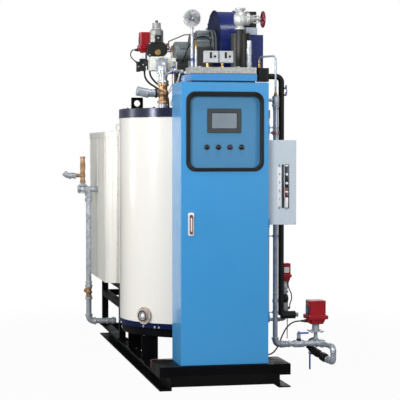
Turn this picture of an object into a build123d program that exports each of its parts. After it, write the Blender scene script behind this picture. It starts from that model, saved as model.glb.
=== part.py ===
from build123d import *
from math import cos, radians, sin, sqrt, tan
import os

# Industrial once-through steam boiler on a steel skid: control cabinet in front, upright
# boiler behind it, economizer at the back. Millimetres, +Z up, front faces -Y, the origin
# on the floor at the centre of the four anchor bolts.

# Skid
skid_length = 3050
skid_width = 900
channel_height = 95
channel_flange = 75
channel_web = 7
channel_flange_thick = 9
cross_member_height = 70
cross_member_width = 50
anchor_inset = 40
anchor_end = 125
anchor_hole_r = 9

# Front deck
deck_height = 65
deck_depth = 350
deck_sheet = 6
deck_corner = 25
deck_lip = 25

# Boiler
boiler_radius = 555
boiler_wall = 8
boiler_setback = 720
leg_height = 182
leg_width = 105
leg_depth = 150
leg_plate = 12
leg_spread = 250
foot_thick = 10
foot_overhang = 20
base_ring_height = 60
base_ring_inset = 17
bottom_band_height = 38
bottom_band_thick = 5
jacket_height = 1501
cover_height = 66
cover_step = 4
cover_thick = 6
cover_corner = 5
lug_size = 86
lug_thick = 16
lug_hole_r = 23
lug_reach = 430

# Sight port at the foot of the boiler
port_flange_r = 62
port_flange_thick = 14
port_ring_r = 42
port_ring_thick = 14
port_glass_r = 27
port_turn = 219
port_rise = 50

# Economizer
econ_width = 1100
econ_depth = 1094
econ_base = 550
econ_height = 1160
econ_corner = 90
econ_wall = 4
econ_gap = 261
lid_height = 40
lid_overhang = 6
econ_lug_width = 60
econ_lug_height = 62
econ_lug_thick = 14
econ_lug_hole_r = 18
collar_r = 150
collar_wall = 4
collar_height = 90
flue_width = 420
flue_height = 360
flue_top_gap = 90
flue_wall = 4
post_size = 50
post_inset_x = 32
post_inset_y = 40
frame_rail_height = 50
frame_foot = 90
frame_foot_thick = 10
low_rail_height = 303

# Cabinet
cabinet_width = 600
cabinet_depth = 330
cabinet_height = 1900
cabinet_sheet = 3
cabinet_return = 28
door_thick = 20
door_gap = 5
door_sheet = 3
door_margin = 3
window_width = 500
window_height = 500
window_corner = 58
window_top = 85
gasket_width = 24
gasket_proud = 5
panel_recess = 30
panel_sheet = 3
panel_lap = 8
screen_width = 231
screen_height = 163
screen_bezel = 27
screen_proud = 9
screen_step = 2.5
screen_drop = 92
button_r = 14
button_collar_r = 18
button_proud = 14
button_collar_thick = 5
button_count = 4
button_pitch = 79
button_drop = 95
handle_width = 40
handle_height = 154
handle_inset = 46
handle_base_thick = 9
handle_lever_thick = 13
handle_gap = 0.6
handle_drop = 872
handle_pivot_r = 3
hinge_offset = 8
hinge_r = 6
hinge_pin_r = 3
hinge_clearance = 0.1
hinge_length = 60
hinge_leaf = 2
hinge_count = 3

# On top of the cabinet
hood_width = 453
hood_depth = 330
hood_height = 45
hood_gap = 9
hood_left = 66
tray_width = 454
tray_depth = 160
tray_height = 44
tray_sheet = 3
switch_width = 94
switch_depth = 55
switch_height = 78
switch_rise = 33
switch_front = 40
switch_places = (-84, 18)
switch_slot_width = 17
switch_slot_height = 42
switch_slot_depth = 3
nipple_r = 8
nipple_shift = 22
gauge_r = 60
gauge_depth = 32
gauge_rise = 329
gauge_x = -208
gauge_y = 90
gauge_rim = 5
gauge_pipe_r = 9
stand_gap = 26
stand_nut_shares = (0, 0.3, 0.96)
stand_nut_ratio = 1.4
stand_height = 128
probe_r = 18
probe_x = 184
probe_y = 80
probe_height = 185
probe_neck = 40
copper_r = 4

# Blower
blower_x = 77
blower_width = 145
blower_radius = 250
blower_ahead = 310
blower_rise = 446
blower_duct_depth = 150
blower_lip = 8
blower_lip_thick = 3
hub_flange_r = 118
hub_flange_thick = 34
motor_r = 97
motor_length = 160
motor_fin_depth = 7
motor_fin_thick = 4
motor_fins = 24
terminal_length = 84
terminal_width = 96
terminal_height = 38
terminal_lid = 6
plinth_front = 610
plinth_depth = 220
plinth_drop = 15
inlet_length = 188
inlet_depth = 280
inlet_height = 304
eye_r = 17
eye_wire = 4

# Steam separator and valve
separator_x = 195
separator_behind = 70
separator_r = 69
separator_top = 2415
separator_base = 1960
separator_neck_r = 25
separator_neck = 28
valve_flange_r = 37
valve_flange_thick = 13
valve_height = 150
valve_body_r = 45
valve_neck_r = 28
bonnet_r = 53
bonnet_length = 48
stem_r = 9
stem_length = 82
yoke_length = 50
yoke_width = 12
yoke_reach = 24
wheel_r = 59
wheel_rim_r = 7
wheel_hub_r = 14
wheel_hub_length = 24
wheel_spokes = 4
wheel_gap = 0.05

# Steam line down the right side
steam_block_x = 319
steam_block_width = 74
steam_block_height = 95
steam_line_z = 2120
lagging_r = 20
lagging_x = 492
lagging_end_z = 442
stub_reach = 100
stub_r = 27
plug_reach = 24
plug_r = 15
lagging_bend = 40

# Water column on the right side
column_x = 412
column_y = 250
column_r = 17
column_top = 1925
column_base = 256
clamp_r = 4
clamp_heights = (480, 1010, 1760)
loop_r = 7
loop_bend = 30
loop_top = 2255
loop_x = 331
fitting_r = 25
fitting_length = 34

# Blowdown loop low on the right
loop_back = (704, 390)
loop_front = (772, 50)
blow_top = 257
blow_bottom_front = 144
blow_bottom_back = 200
blow_r = 18
dark_r = 21
dark_bend = 30
join_top_share = 0.13
join_low_share = 0.72
blow_bend = 34
ball_x = 581
ball_r = 26
ball_length = 64
ball_stem_r = 13
ball_stem_height = 44
lever_length = 62
lever_width = 18
lever_thick = 4
lever_gap = 5.5
drain_lever_length = 110
drain_valve_share = 0.27
actuator_share = 0.24
tee_share = 0.42
actuator_width = 117
actuator_depth = 126
actuator_height = 164
actuator_base = 387
actuator_foot_share = 0.22
actuator_rim_share = 0.15
actuator_ledge_share = 0.12
mount_post_r = 24
mount_plate = 95
mount_plate_thick = 8
gland_r = 12
gland_length = 40
gland_nut_share = 0.45
gland_neck_share = 0.7

# Cables: their radii, and the routes that their points follow
cable_r = 5
upper_cable_r = 4
hose_r = 7
motor_cable_r = 4
upper_gland = 16
upper_gland_r = 7
connector_depth = 35
connector_places = (
    (-456, -432, 267, 340),
    (-432, -390, 272, 362),
    (-378, -342, 281, 352),
)
plug_box = 44
plug_box_depth = 26

# Smaller actuator behind the steam line's stub
upper_x = 544
upper_behind = 75
upper_pipe_r = 12
upper_pipe_z = 402
upper_turn_x = 440
upper_bend = 24
upper_width = 55
upper_depth = 92
upper_height = 125
upper_base = 677
upper_body_r = 20

# Level gauge panel on the cabinet's right side
level_width = 209
level_height = 575
level_depth = 30
level_front = 60
level_top = 1673
level_slot_x = 117
level_slot_width = 11
level_slot_top = 166
level_slot_height = 296
level_slot_depth = 8

# Gas train above the boiler's left front
gas_y = 700
riser_x = -298
riser_r = 31
safety_r = 40
safety_height = 150
safety_nut = 26
safety_base = 30
riser_height = 140
elbow_r = 39
elbow_length = 62
riser_bend = 45
outlet_reach = 150
outlet_r = 27
outlet_elbow_r = 32
gas_block_x = -291
gas_block_width = 168
gas_block_depth = 110
gas_block_height = 100
regulator_x = -322
regulator_width = 138
regulator_height = 104
regulator_depth = 96
solenoid_r = 50
solenoid_height = 95
solenoid_cap_r = 31
solenoid_cap = 46
solenoid_shoulder = 12
solenoid_rib = 5
solenoid_ribs = 10
gas_actuator_x = -388
gas_actuator_behind = 245
gas_actuator_rise = 56
gas_pipe_rise = 331
gas_pipe_r = 20
gas_actuator_width = 82
gas_actuator_height = 146
gas_actuator_depth = 80
feed_motor_r = 68
feed_motor_length = 117
feed_motor_x = -205
feed_motor_rise = 412
feed_motor_behind = 100

# Economizer feed line on the left side
feed_x = -624
feed_y = 2400
feed_r = 22
feed_low = 190
feed_cross_z = 1283
feed_reach = 226
check_r = 26
check_height = 78
check_z = 430
relief_r = 22
relief_height = 218
relief_outlet_rise = 62
relief_elbow = 56
relief_elbow_r = 23
relief_x = -672
relief_outlet = 74

overrun = 2

# Places that several pieces share
anchor_spacing_x = skid_width - 2 * anchor_inset
anchor_spacing_y = skid_length - 2 * anchor_end
deck_top = channel_height + deck_height
cabinet_front = -skid_length / 2 + deck_lip
cabinet_back = cabinet_front + cabinet_depth
cabinet_top = deck_top + cabinet_height
cabinet_side = cabinet_width / 2
boiler_y = cabinet_back + boiler_setback
base_bottom = channel_height + leg_height
base_top = base_bottom + base_ring_height
band_top = base_top + bottom_band_height
jacket_top = base_top + jacket_height
boiler_top = jacket_top + cover_height
feed_motor_z = boiler_top + feed_motor_rise
gas_pipe_z = boiler_top + gas_pipe_rise
econ_front = boiler_y + boiler_radius + econ_gap
econ_y = econ_front + econ_depth / 2
econ_top = econ_base + econ_height
hood_base = cabinet_top + hood_gap
tray_base = hood_base + hood_height
tray_top = tray_base + tray_height


def save(name, piece):
    """Label a finished piece and write it to its own file."""
    piece.part.label = name
    export_step(piece.part, f"parts/{name}.step")


def box(low, high, mode=Mode.ADD):
    """Add a block between two opposite corners."""
    size = [b - a for a, b in zip(low, high)]
    with Locations(low):
        Box(*size, align=(Align.MIN, Align.MIN, Align.MIN), mode=mode)


def rod(start, end, radius, sides=0, mode=Mode.ADD):
    """Add a round bar, or one with the given number of sides, between two points."""
    run = Vector(end) - Vector(start)
    with BuildSketch(Plane(origin=start, z_dir=run)) as section:
        if sides:
            RegularPolygon(radius, sides)
        else:
            Circle(radius)
    extrude(section.sketch, amount=run.length, mode=mode)


def pipe(points, radius, bend):
    """Add a round pipe along straight runs with one bend radius."""
    with BuildLine() as route:
        FilletPolyline(*points, radius=bend)
    with BuildSketch(Plane(origin=route.line @ 0, z_dir=route.line % 0)) as section:
        Circle(radius)
    sweep(section.sketch, path=route.line)


def cord_radii(points):
    """Give each corner of a cord the largest arc that its two runs allow."""
    share = 0.45
    radii = []
    for a, b, c in zip(points, points[1:], points[2:]):
        before, after = Vector(b) - Vector(a), Vector(c) - Vector(b)
        turn = radians(before.get_angle(after))
        radii.append(share * min(before.length, after.length) / tan(turn / 2))
    return radii


def cord(name, points, radius):
    """Make one free cord as a tube of straight runs and tangent arcs."""
    radii = cord_radii(points)
    with BuildPart() as tube:
        with BuildLine() as route:
            FilletPolyline(*points, radius=radii)
        with BuildSketch(Plane(origin=route.line @ 0, z_dir=route.line % 0)):
            Circle(radius)
        sweep()
    save(name, tube)
    length = sum(edge.length for edge in route.edges())
    print(name, "length", round(length, 1), "radii", [round(r) for r in radii])


def loop_point(share, z):
    """A point on the loop's plane, by its share of the way from back to front."""
    x = loop_back[0] + share * (loop_front[0] - loop_back[0])
    y = loop_back[1] + share * (loop_front[1] - loop_back[1])
    return (x, cabinet_front + y, z)


def bottom_z(share):
    """The height of the loop's sloping bottom run."""
    return blow_bottom_back + share * (blow_bottom_front - blow_bottom_back)


os.makedirs("parts", exist_ok=True)

# Skid: two channels with their flanges outwards, tied by cross members
web_face = skid_width / 2 - channel_flange
for side, name in ((-1, "skid_channel_left"), (1, "skid_channel_right")):
    with BuildPart() as channel:
        with BuildSketch(Plane.XZ.offset(-skid_length / 2)):
            with BuildLine():
                Polyline(
                    (side * (web_face - channel_web), 0),
                    (side * skid_width / 2, 0),
                    (side * skid_width / 2, channel_flange_thick),
                    (side * web_face, channel_flange_thick),
                    (side * web_face, channel_height - channel_flange_thick),
                    (side * skid_width / 2, channel_height - channel_flange_thick),
                    (side * skid_width / 2, channel_height),
                    (side * (web_face - channel_web), channel_height),
                    close=True,
                )
            make_face()
        extrude(amount=skid_length)
        with Locations((side * anchor_spacing_x / 2, 0, 0)):
            with GridLocations(anchor_spacing_x, anchor_spacing_y, 1, 2):
                Cylinder(anchor_hole_r, 2 * channel_flange_thick, mode=Mode.SUBTRACT)
    save(name, channel)

member_reach = web_face - channel_web
member_base = channel_height - cross_member_height
skid_front = -skid_length / 2
member_places = (
    skid_front,
    skid_front + deck_depth - cross_member_width,
    skid_length / 2 - cross_member_width,
)
with BuildPart() as cross_members:
    for place in member_places:
        box(
            (-member_reach, place, member_base),
            (member_reach, place + cross_member_width, channel_height),
        )
save("skid_cross_members", cross_members)

# Front deck: a folded steel tray, open below
with BuildPart() as deck:
    box((-skid_width / 2, skid_front, channel_height),
        (skid_width / 2, skid_front + deck_depth, deck_top))
    fillet(deck.edges().filter_by(Axis.Z).group_by(Axis.Y)[-1], deck_corner)
    offset(openings=deck.faces().sort_by(Axis.Z)[0], amount=-deck_sheet)
save("front_deck", deck)

# Boiler base: a black ring with the bottom plate across it, on four welded angle legs
leg_x = skid_width / 2 - leg_width / 2
ring_r = boiler_radius - base_ring_inset
with BuildPart() as base:
    with BuildSketch(Plane.XY.offset(base_bottom)):
        with Locations((0, boiler_y)):
            Circle(ring_r)
    extrude(amount=base_ring_height)
    fillet(base.edges().group_by(Axis.Z)[0], cover_corner)
    for side in (-1, 1):
        for end in (-1, 1):
            leg_y = boiler_y + end * (leg_spread + leg_depth / 2)
            with Locations((side * leg_x, leg_y, channel_height)):
                Box(leg_width, leg_depth + 2 * foot_overhang, foot_thick,
                    align=(Align.CENTER, Align.CENTER, Align.MIN))
                Box(leg_width, leg_plate, leg_height,
                    align=(Align.CENTER, Align.CENTER, Align.MIN))
            inner = side * (leg_x - leg_width / 2 + leg_plate / 2)
            with Locations((inner, leg_y, channel_height)):
                Box(leg_plate, leg_depth, leg_height,
                    align=(Align.CENTER, Align.CENTER, Align.MIN))
save("boiler_base", base)

# Navy flange band round the foot of the jacket
with BuildPart() as bottom_band:
    with BuildSketch(Plane.XY.offset(base_top)):
        with Locations((0, boiler_y)):
            Circle(boiler_radius + bottom_band_thick)
            Circle(boiler_radius, mode=Mode.SUBTRACT)
    extrude(amount=bottom_band_height)
save("boiler_bottom_band", bottom_band)

# Cream jacket, an upright shell
with BuildPart() as jacket:
    with BuildSketch(Plane.XY.offset(base_top)):
        with Locations((0, boiler_y)):
            Circle(boiler_radius)
            Circle(boiler_radius - boiler_wall, mode=Mode.SUBTRACT)
    extrude(amount=jacket_height)
save("boiler_jacket", jacket)

# Polished top cover with a deep skirt
with BuildPart() as cover:
    with BuildSketch(Plane.XZ.offset(-boiler_y)):
        with BuildLine():
            Polyline(
                (0, boiler_top - cover_thick),
                (boiler_radius + cover_step - cover_thick, boiler_top - cover_thick),
                (boiler_radius + cover_step - cover_thick, jacket_top),
                (boiler_radius + cover_step, jacket_top),
                (boiler_radius + cover_step, boiler_top),
                (0, boiler_top),
                close=True,
            )
        make_face()
    revolve(axis=Axis((0, boiler_y, 0), (0, 0, 1)))
    fillet(cover.edges().group_by(Axis.Z)[-1], cover_corner)
save("boiler_top_cover", cover)

# Lifting lugs on the cover, one each side
with BuildPart() as lugs:
    for side in (-1, 1):
        with BuildSketch(Plane.XZ.offset(-boiler_y - lug_thick / 2)):
            with Locations((side * lug_reach, boiler_top + lug_size / 2)):
                RectangleRounded(lug_size, lug_size, cover_corner)
                Circle(lug_hole_r, mode=Mode.SUBTRACT)
        extrude(amount=lug_thick)
save("boiler_lifting_lugs", lugs)

# Sight port: flange, clamp ring and glass, low on the left front
port_z = band_top + port_rise
port_dir = Vector(cos(radians(port_turn)), sin(radians(port_turn)), 0)
port_seat = Vector(0, boiler_y, port_z) + port_dir * (boiler_radius - boiler_wall)
port_reach = boiler_wall + port_flange_thick
with BuildPart() as port:
    with BuildSketch(Plane(origin=port_seat + port_dir * boiler_wall, z_dir=port_dir)):
        Circle(port_flange_r)
    extrude(amount=port_flange_thick)
    with BuildSketch(Plane(origin=port_seat + port_dir * port_reach, z_dir=port_dir)):
        Circle(port_ring_r)
        Circle(port_glass_r, mode=Mode.SUBTRACT)
    extrude(amount=port_ring_thick)
    port_low = port_z - port_flange_r - overrun
    axis_low, axis_high = (0, boiler_y, port_low), (0, boiler_y, port_z + port_flange_r + overrun)
    rod(axis_low, axis_high, boiler_radius, mode=Mode.SUBTRACT)
    rod(axis_low, (0, boiler_y, band_top), boiler_radius + bottom_band_thick,
        mode=Mode.SUBTRACT)
save("sight_port", port)

# Flue duct from the boiler's back to the economizer
flue_front = boiler_y + sqrt(boiler_radius ** 2 - (flue_width / 2) ** 2)
flue_z = econ_top - flue_top_gap - flue_height / 2
with BuildPart() as flue:
    with BuildSketch(Plane.XZ.offset(-flue_front)):
        with Locations((0, flue_z)):
            Rectangle(flue_width, flue_height)
            Rectangle(flue_width - 2 * flue_wall, flue_height - 2 * flue_wall,
                      mode=Mode.SUBTRACT)
    extrude(amount=-(econ_front - flue_front))
    rod((0, boiler_y, base_top), (0, boiler_y, jacket_top), boiler_radius, mode=Mode.SUBTRACT)
save("flue_duct", flue)

# Economizer: rounded casing on a steel frame
with BuildPart() as econ:
    with BuildSketch(Plane.XY.offset(econ_base)):
        with Locations((0, econ_y)):
            RectangleRounded(econ_width, econ_depth, econ_corner)
    extrude(amount=econ_height)
    offset(openings=econ.faces().sort_by(Axis.Z)[-1], amount=-econ_wall)
save("economizer_casing", econ)

with BuildPart() as lid:
    with BuildSketch(Plane.XY.offset(econ_top)):
        with Locations((0, econ_y)):
            RectangleRounded(econ_width + 2 * lid_overhang, econ_depth + 2 * lid_overhang,
                             econ_corner + lid_overhang)
    extrude(amount=lid_height)
    chamfer(lid.edges().group_by(Axis.Z)[-1], econ_wall)
    with BuildSketch(Plane.XY.offset(econ_top + lid_height)):
        with Locations((0, econ_y)):
            Circle(collar_r)
            Circle(collar_r - collar_wall, mode=Mode.SUBTRACT)
    extrude(amount=collar_height)
    with BuildSketch(Plane.XY.offset(econ_top - overrun)):
        with Locations((0, econ_y)):
            Circle(collar_r - collar_wall)
    extrude(amount=lid_height + 2 * overrun, mode=Mode.SUBTRACT)
    lug_place_x = econ_width / 2 - econ_corner - econ_lug_width / 2
    for side in (-1, 1):
        with BuildSketch(Plane.XZ.offset(-econ_front - econ_corner)):
            with Locations((side * lug_place_x, econ_top + lid_height + econ_lug_height / 2)):
                RectangleRounded(econ_lug_width, econ_lug_height, econ_wall)
                Circle(econ_lug_hole_r, mode=Mode.SUBTRACT)
        extrude(amount=econ_lug_thick)
save("economizer_lid", lid)

# Frame under the economizer: four posts with feet, tied by rails
post_x = skid_width / 2 - post_inset_x
post_front = econ_front + post_inset_y
post_back = econ_front + econ_depth - post_inset_y
rail_top = econ_base
with BuildPart() as econ_frame:
    for x in (-post_x, post_x):
        for y in (post_front, post_back):
            with Locations((x, y, channel_height)):
                Box(post_size, post_size, econ_base - channel_height,
                    align=(Align.CENTER, Align.CENTER, Align.MIN))
                Box(frame_foot, frame_foot, frame_foot_thick,
                    align=(Align.CENTER, Align.CENTER, Align.MIN))
    for level in (econ_base, channel_height + low_rail_height):
        for x in (-post_x, post_x):
            box((x - post_size / 2, post_front, level - frame_rail_height),
                (x + post_size / 2, post_back, level))
        for y in (post_front, post_back):
            box((-post_x, y - post_size / 2, level - frame_rail_height),
                (post_x, y + post_size / 2, level))
save("economizer_frame", econ_frame)

# Feed line up the economizer's left side
feed_world_y = cabinet_front + feed_y
feed_wall_x = -econ_width / 2
relief_z = feed_cross_z + 2 * fitting_r
outlet_mid = relief_z + relief_outlet_rise
outlet_end = relief_x - relief_outlet
with BuildPart() as feed:
    pipe(
        (
            (outlet_end, feed_world_y, outlet_mid),
            (outlet_end - relief_elbow, feed_world_y, outlet_mid),
            (outlet_end - relief_elbow - relief_elbow_r, feed_world_y,
             outlet_mid + relief_elbow_r),
        ),
        relief_elbow_r, relief_elbow_r * 3 / 2,
    )
    pipe(
        (
            (feed_x + feed_reach, feed_world_y, feed_low),
            (feed_x, feed_world_y, feed_low),
            (feed_x, feed_world_y, check_z - check_height / 2),
        ),
        feed_r, feed_r * 2,
    )
    rod((feed_x, feed_world_y, check_z + check_height / 2),
        (feed_x, feed_world_y, feed_cross_z), feed_r)
    rod((relief_x - fitting_r, feed_world_y, feed_cross_z),
        (feed_wall_x, feed_world_y, feed_cross_z), feed_r)
    rod((relief_x, feed_world_y, feed_cross_z),
        (relief_x, feed_world_y, feed_cross_z + 2 * fitting_r), feed_r * cos(radians(45)))
save("feed_pipework", feed)

# Bronze valves of the feed line: the check valve and the relief valve on top
check_low, check_high = check_z - check_height / 2, check_z + check_height / 2
with BuildPart() as feed_valves:
    rod((feed_x, feed_world_y, check_low), (feed_x, feed_world_y, check_low + feed_r / 2),
        check_r, 6)
    rod((feed_x, feed_world_y, check_low), (feed_x, feed_world_y, check_high), feed_r)
    with Locations((feed_x, feed_world_y, check_z)):
        Sphere(check_r)
    rod((feed_x, feed_world_y, check_high - feed_r / 2), (feed_x, feed_world_y, check_high),
        check_r, 6)
    rod((feed_x, feed_world_y, check_z),
        (feed_x - check_r - feed_r / 2, feed_world_y, check_z + feed_r), feed_r * cos(radians(45)),
        6)
    rod((relief_x, feed_world_y, relief_z), (relief_x, feed_world_y, relief_z + relief_r),
        relief_r, 6)
    rod((relief_x, feed_world_y, relief_z),
        (relief_x, feed_world_y, relief_z + relief_height), relief_r * cos(radians(30)))
    rod((relief_x, feed_world_y, relief_z + relief_height / 2),
        (relief_x, feed_world_y, relief_z + relief_height * 3 / 4), relief_r, 6)
    rod((relief_x, feed_world_y, relief_z + relief_height),
        (relief_x, feed_world_y, relief_z + relief_height - relief_r / 2), relief_r)
    rod((relief_x, feed_world_y, outlet_mid), (relief_x - relief_outlet, feed_world_y, outlet_mid),
        relief_r * cos(radians(45)))
    with Locations((relief_x, feed_world_y, outlet_mid)):
        Sphere(relief_r + overrun)
save("feed_line_valves", feed_valves)

# Cabinet body: a folded sheet enclosure with returns round its open front
body_front = cabinet_front + door_thick + door_gap
with BuildPart() as cabinet:
    box((-cabinet_side, body_front, deck_top), (cabinet_side, cabinet_back, cabinet_top))
    offset(openings=cabinet.faces().sort_by(Axis.Y)[0], amount=-cabinet_sheet)
    with BuildSketch(Plane.XZ.offset(-body_front)):
        with Locations((0, (deck_top + cabinet_top) / 2)):
            Rectangle(cabinet_width, cabinet_height)
            Rectangle(cabinet_width - 2 * cabinet_return, cabinet_height - 2 * cabinet_return,
                      mode=Mode.SUBTRACT)
    extrude(amount=-cabinet_sheet)
save("cabinet_body", cabinet)

# Door hinges: the fixed halves with their pins on the cabinet's right side
hinge_x = cabinet_side + hinge_offset
hinge_y = cabinet_front + door_thick + door_gap / 2
hinge_step = cabinet_height / hinge_count
hinge_places = [deck_top + hinge_step * (n + 1 / 2) for n in range(hinge_count)]
knuckle = hinge_length / 2
with BuildPart() as hinges:
    for z in hinge_places:
        rod((hinge_x, hinge_y, z - knuckle), (hinge_x, hinge_y, z), hinge_r)
        rod((hinge_x, hinge_y, z), (hinge_x, hinge_y, z + knuckle - hinge_leaf), hinge_pin_r)
        box((cabinet_side, hinge_y, z - knuckle),
            (cabinet_side + hinge_leaf, body_front + cabinet_return, z))
        box((cabinet_side, hinge_y, z - knuckle), (hinge_x, hinge_y + hinge_leaf, z))
save("cabinet_hinges", hinges)

# Door: a folded sheet with a window cut through it and the hinges' moving halves
door_x = cabinet_side
door_low = deck_top + door_margin
door_high = cabinet_top - door_margin
door_back = cabinet_front + door_thick
window_z = cabinet_top - window_top - window_height / 2
leaf_lift = hinge_clearance
with BuildPart() as door:
    box((-door_x, cabinet_front, door_low), (door_x, door_back, door_high))
    offset(openings=door.faces().sort_by(Axis.Y)[-1], amount=-door_sheet)
    with BuildSketch(Plane.XZ.offset(-cabinet_front + overrun)):
        with Locations((0, window_z)):
            RectangleRounded(window_width, window_height, window_corner)
    extrude(amount=-(door_sheet + 2 * overrun), mode=Mode.SUBTRACT)
    for z in hinge_places:
        low, high = z + leaf_lift, z + knuckle
        rod((hinge_x, hinge_y, low), (hinge_x, hinge_y, high), hinge_r)
        box((cabinet_side, cabinet_front + hinge_leaf, low),
            (cabinet_side + hinge_leaf, hinge_y - hinge_clearance, high))
        box((cabinet_side, hinge_y - hinge_leaf, low), (hinge_x, hinge_y, high))
    for z in hinge_places:
        with Locations((hinge_x, hinge_y, z + knuckle / 2)):
            Cylinder(hinge_pin_r + hinge_clearance, knuckle + overrun, mode=Mode.SUBTRACT)
save("cabinet_door", door)

# Black rubber trim round the window
with BuildPart() as gasket:
    with BuildSketch(Plane.XZ.offset(-cabinet_front + gasket_proud)):
        with Locations((0, window_z)):
            RectangleRounded(window_width + gasket_width, window_height + gasket_width,
                             window_corner + gasket_width / 2)
            RectangleRounded(window_width - gasket_width, window_height - gasket_width,
                             window_corner - gasket_width / 2, mode=Mode.SUBTRACT)
    extrude(amount=-gasket_proud)
    fillet(gasket.faces().sort_by(Axis.Y)[0].edges(), gasket_proud / 2)
save("window_trim", gasket)

# Control panel: a shallow tray set back behind the window
panel_front = cabinet_front + door_sheet
panel_face = cabinet_front + panel_recess
panel_width = window_width + 2 * panel_lap
panel_height = window_height + 2 * panel_lap
with BuildPart() as panel:
    with BuildSketch(Plane.XZ.offset(-panel_front)):
        with Locations((0, window_z)):
            RectangleRounded(panel_width, panel_height, window_corner + panel_lap)
    extrude(amount=-(panel_face + panel_sheet - panel_front))
    offset(openings=panel.faces().sort_by(Axis.Y)[0], amount=-panel_sheet)
save("control_panel", panel)

# Touch screen in its raised bezel
screen_z = window_z + window_height / 2 - screen_drop - screen_height / 2
with BuildPart() as screen:
    with BuildSketch(Plane.XZ.offset(-panel_face + screen_proud)):
        with Locations((0, screen_z)):
            RectangleRounded(screen_width, screen_height, screen_proud)
    extrude(amount=-screen_proud)
    chamfer(screen.faces().sort_by(Axis.Y)[0].edges(), screen_step)
    with BuildSketch(Plane.XZ.offset(-panel_face + screen_proud)):
        with Locations((0, screen_z)):
            Rectangle(screen_width - 2 * screen_bezel, screen_height - 2 * screen_bezel)
    extrude(amount=-screen_step, mode=Mode.SUBTRACT)
save("touch_screen", screen)

# Four buttons in a row under the screen
button_z = screen_z - screen_height / 2 - button_drop
with BuildPart() as buttons:
    for n in range(button_count):
        x = (n - (button_count - 1) / 2) * button_pitch
        face = panel_face - button_collar_thick
        rod((x, panel_face, button_z), (x, face, button_z), button_collar_r)
        rod((x, face, button_z), (x, panel_face - button_proud, button_z), button_r)
save("push_buttons", buttons)

# Swing handle: a fixed base plate and a lever that lifts from its top pivot
handle_x = -cabinet_side + handle_inset + handle_width / 2
handle_top = cabinet_top - handle_drop
handle_face = cabinet_front - handle_base_thick
lever_half = handle_width / 4
pivot_z = handle_top - handle_width / 2
pivot_y = handle_face - handle_lever_thick / 2
with BuildPart() as handle_base:
    with BuildSketch(Plane.XZ.offset(-cabinet_front)):
        with Locations((handle_x, handle_top - handle_height / 2)):
            RectangleRounded(handle_width, handle_height, handle_width / 4)
    extrude(amount=handle_base_thick)
    for side in (-1, 1):
        ear_in = handle_x + side * (lever_half + handle_gap)
        ear_out = handle_x + side * (handle_width / 2 - handle_gap)
        box((min(ear_in, ear_out), pivot_y - handle_pivot_r, pivot_z - 2 * handle_pivot_r),
            (max(ear_in, ear_out), handle_face, pivot_z + 2 * handle_pivot_r))
    rod((handle_x - lever_half - handle_gap, pivot_y, pivot_z),
        (handle_x + lever_half + handle_gap, pivot_y, pivot_z), handle_pivot_r / 2)
save("handle_base", handle_base)

lever_low = handle_top - handle_height + handle_width / 4
with BuildPart() as handle_lever:
    with BuildSketch(Plane.YZ.offset(handle_x - lever_half)):
        with BuildLine():
            Polyline(
                (handle_face - handle_gap, pivot_z),
                (handle_face - handle_gap, lever_low),
                (handle_face - handle_lever_thick, lever_low),
                (handle_face - handle_lever_thick, pivot_z),
            )
            ThreePointArc(
                (handle_face - handle_lever_thick, pivot_z),
                (pivot_y - handle_gap / 2, pivot_z + handle_lever_thick / 2 - handle_gap),
                (handle_face - handle_gap, pivot_z),
            )
        make_face()
    extrude(amount=2 * lever_half)
    with Locations(Plane(origin=(handle_x, pivot_y, pivot_z), z_dir=(1, 0, 0))):
        Cylinder(handle_pivot_r / 2 + hinge_clearance, 2 * lever_half + overrun,
                 mode=Mode.SUBTRACT)
save("handle_lever", handle_lever)

# Hood on the cabinet's roof, standing on a dark packing strip
hood_low = -cabinet_side + hood_left
with BuildPart() as hood:
    box((hood_low, cabinet_front, hood_base),
        (hood_low + hood_width, cabinet_front + hood_depth, tray_base))
    box((hood_low + hood_gap, cabinet_front + hood_gap, cabinet_top),
        (hood_low + hood_width - hood_gap, cabinet_front + hood_depth - hood_gap, hood_base))
save("cabinet_hood", hood)

# Stainless tray for the instruments, an open channel on the hood
tray_low = hood_low - hood_gap / 2
with BuildPart() as tray:
    box((tray_low, cabinet_front, tray_base),
        (tray_low + tray_width, cabinet_front + tray_depth, tray_top))
    offset(openings=tray.faces().sort_by(Axis.Z)[0], amount=-tray_sheet)
save("instrument_tray", tray)

# Pressure switches on their brass nipples
switch_base = tray_top + switch_rise
switch_y = cabinet_front + switch_front
with BuildPart() as switches:
    for x in switch_places:
        box((x - switch_width / 2, switch_y, switch_base),
            (x + switch_width / 2, switch_y + switch_depth, switch_base + switch_height))
    fillet(switches.edges().filter_by(Axis.Z), switch_slot_depth)
    for x in switch_places:
        left = x - switch_width / 2 + switch_slot_width * 2
        high = switch_base + switch_height - nipple_r
        box((left, switch_y, high - switch_slot_height),
            (left + switch_slot_width, switch_y + switch_slot_depth, high))
        with Locations((left + switch_slot_width / 2, switch_y, high - switch_slot_height / 2)):
            Box(switch_slot_width, switch_slot_depth, switch_slot_height, mode=Mode.SUBTRACT)
    for x in switch_places:
        place = (x - nipple_shift, switch_y + switch_depth / 2)
        rod((*place, tray_top), (*place, switch_base), nipple_r, 6)
save("pressure_switches", switches)

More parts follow.
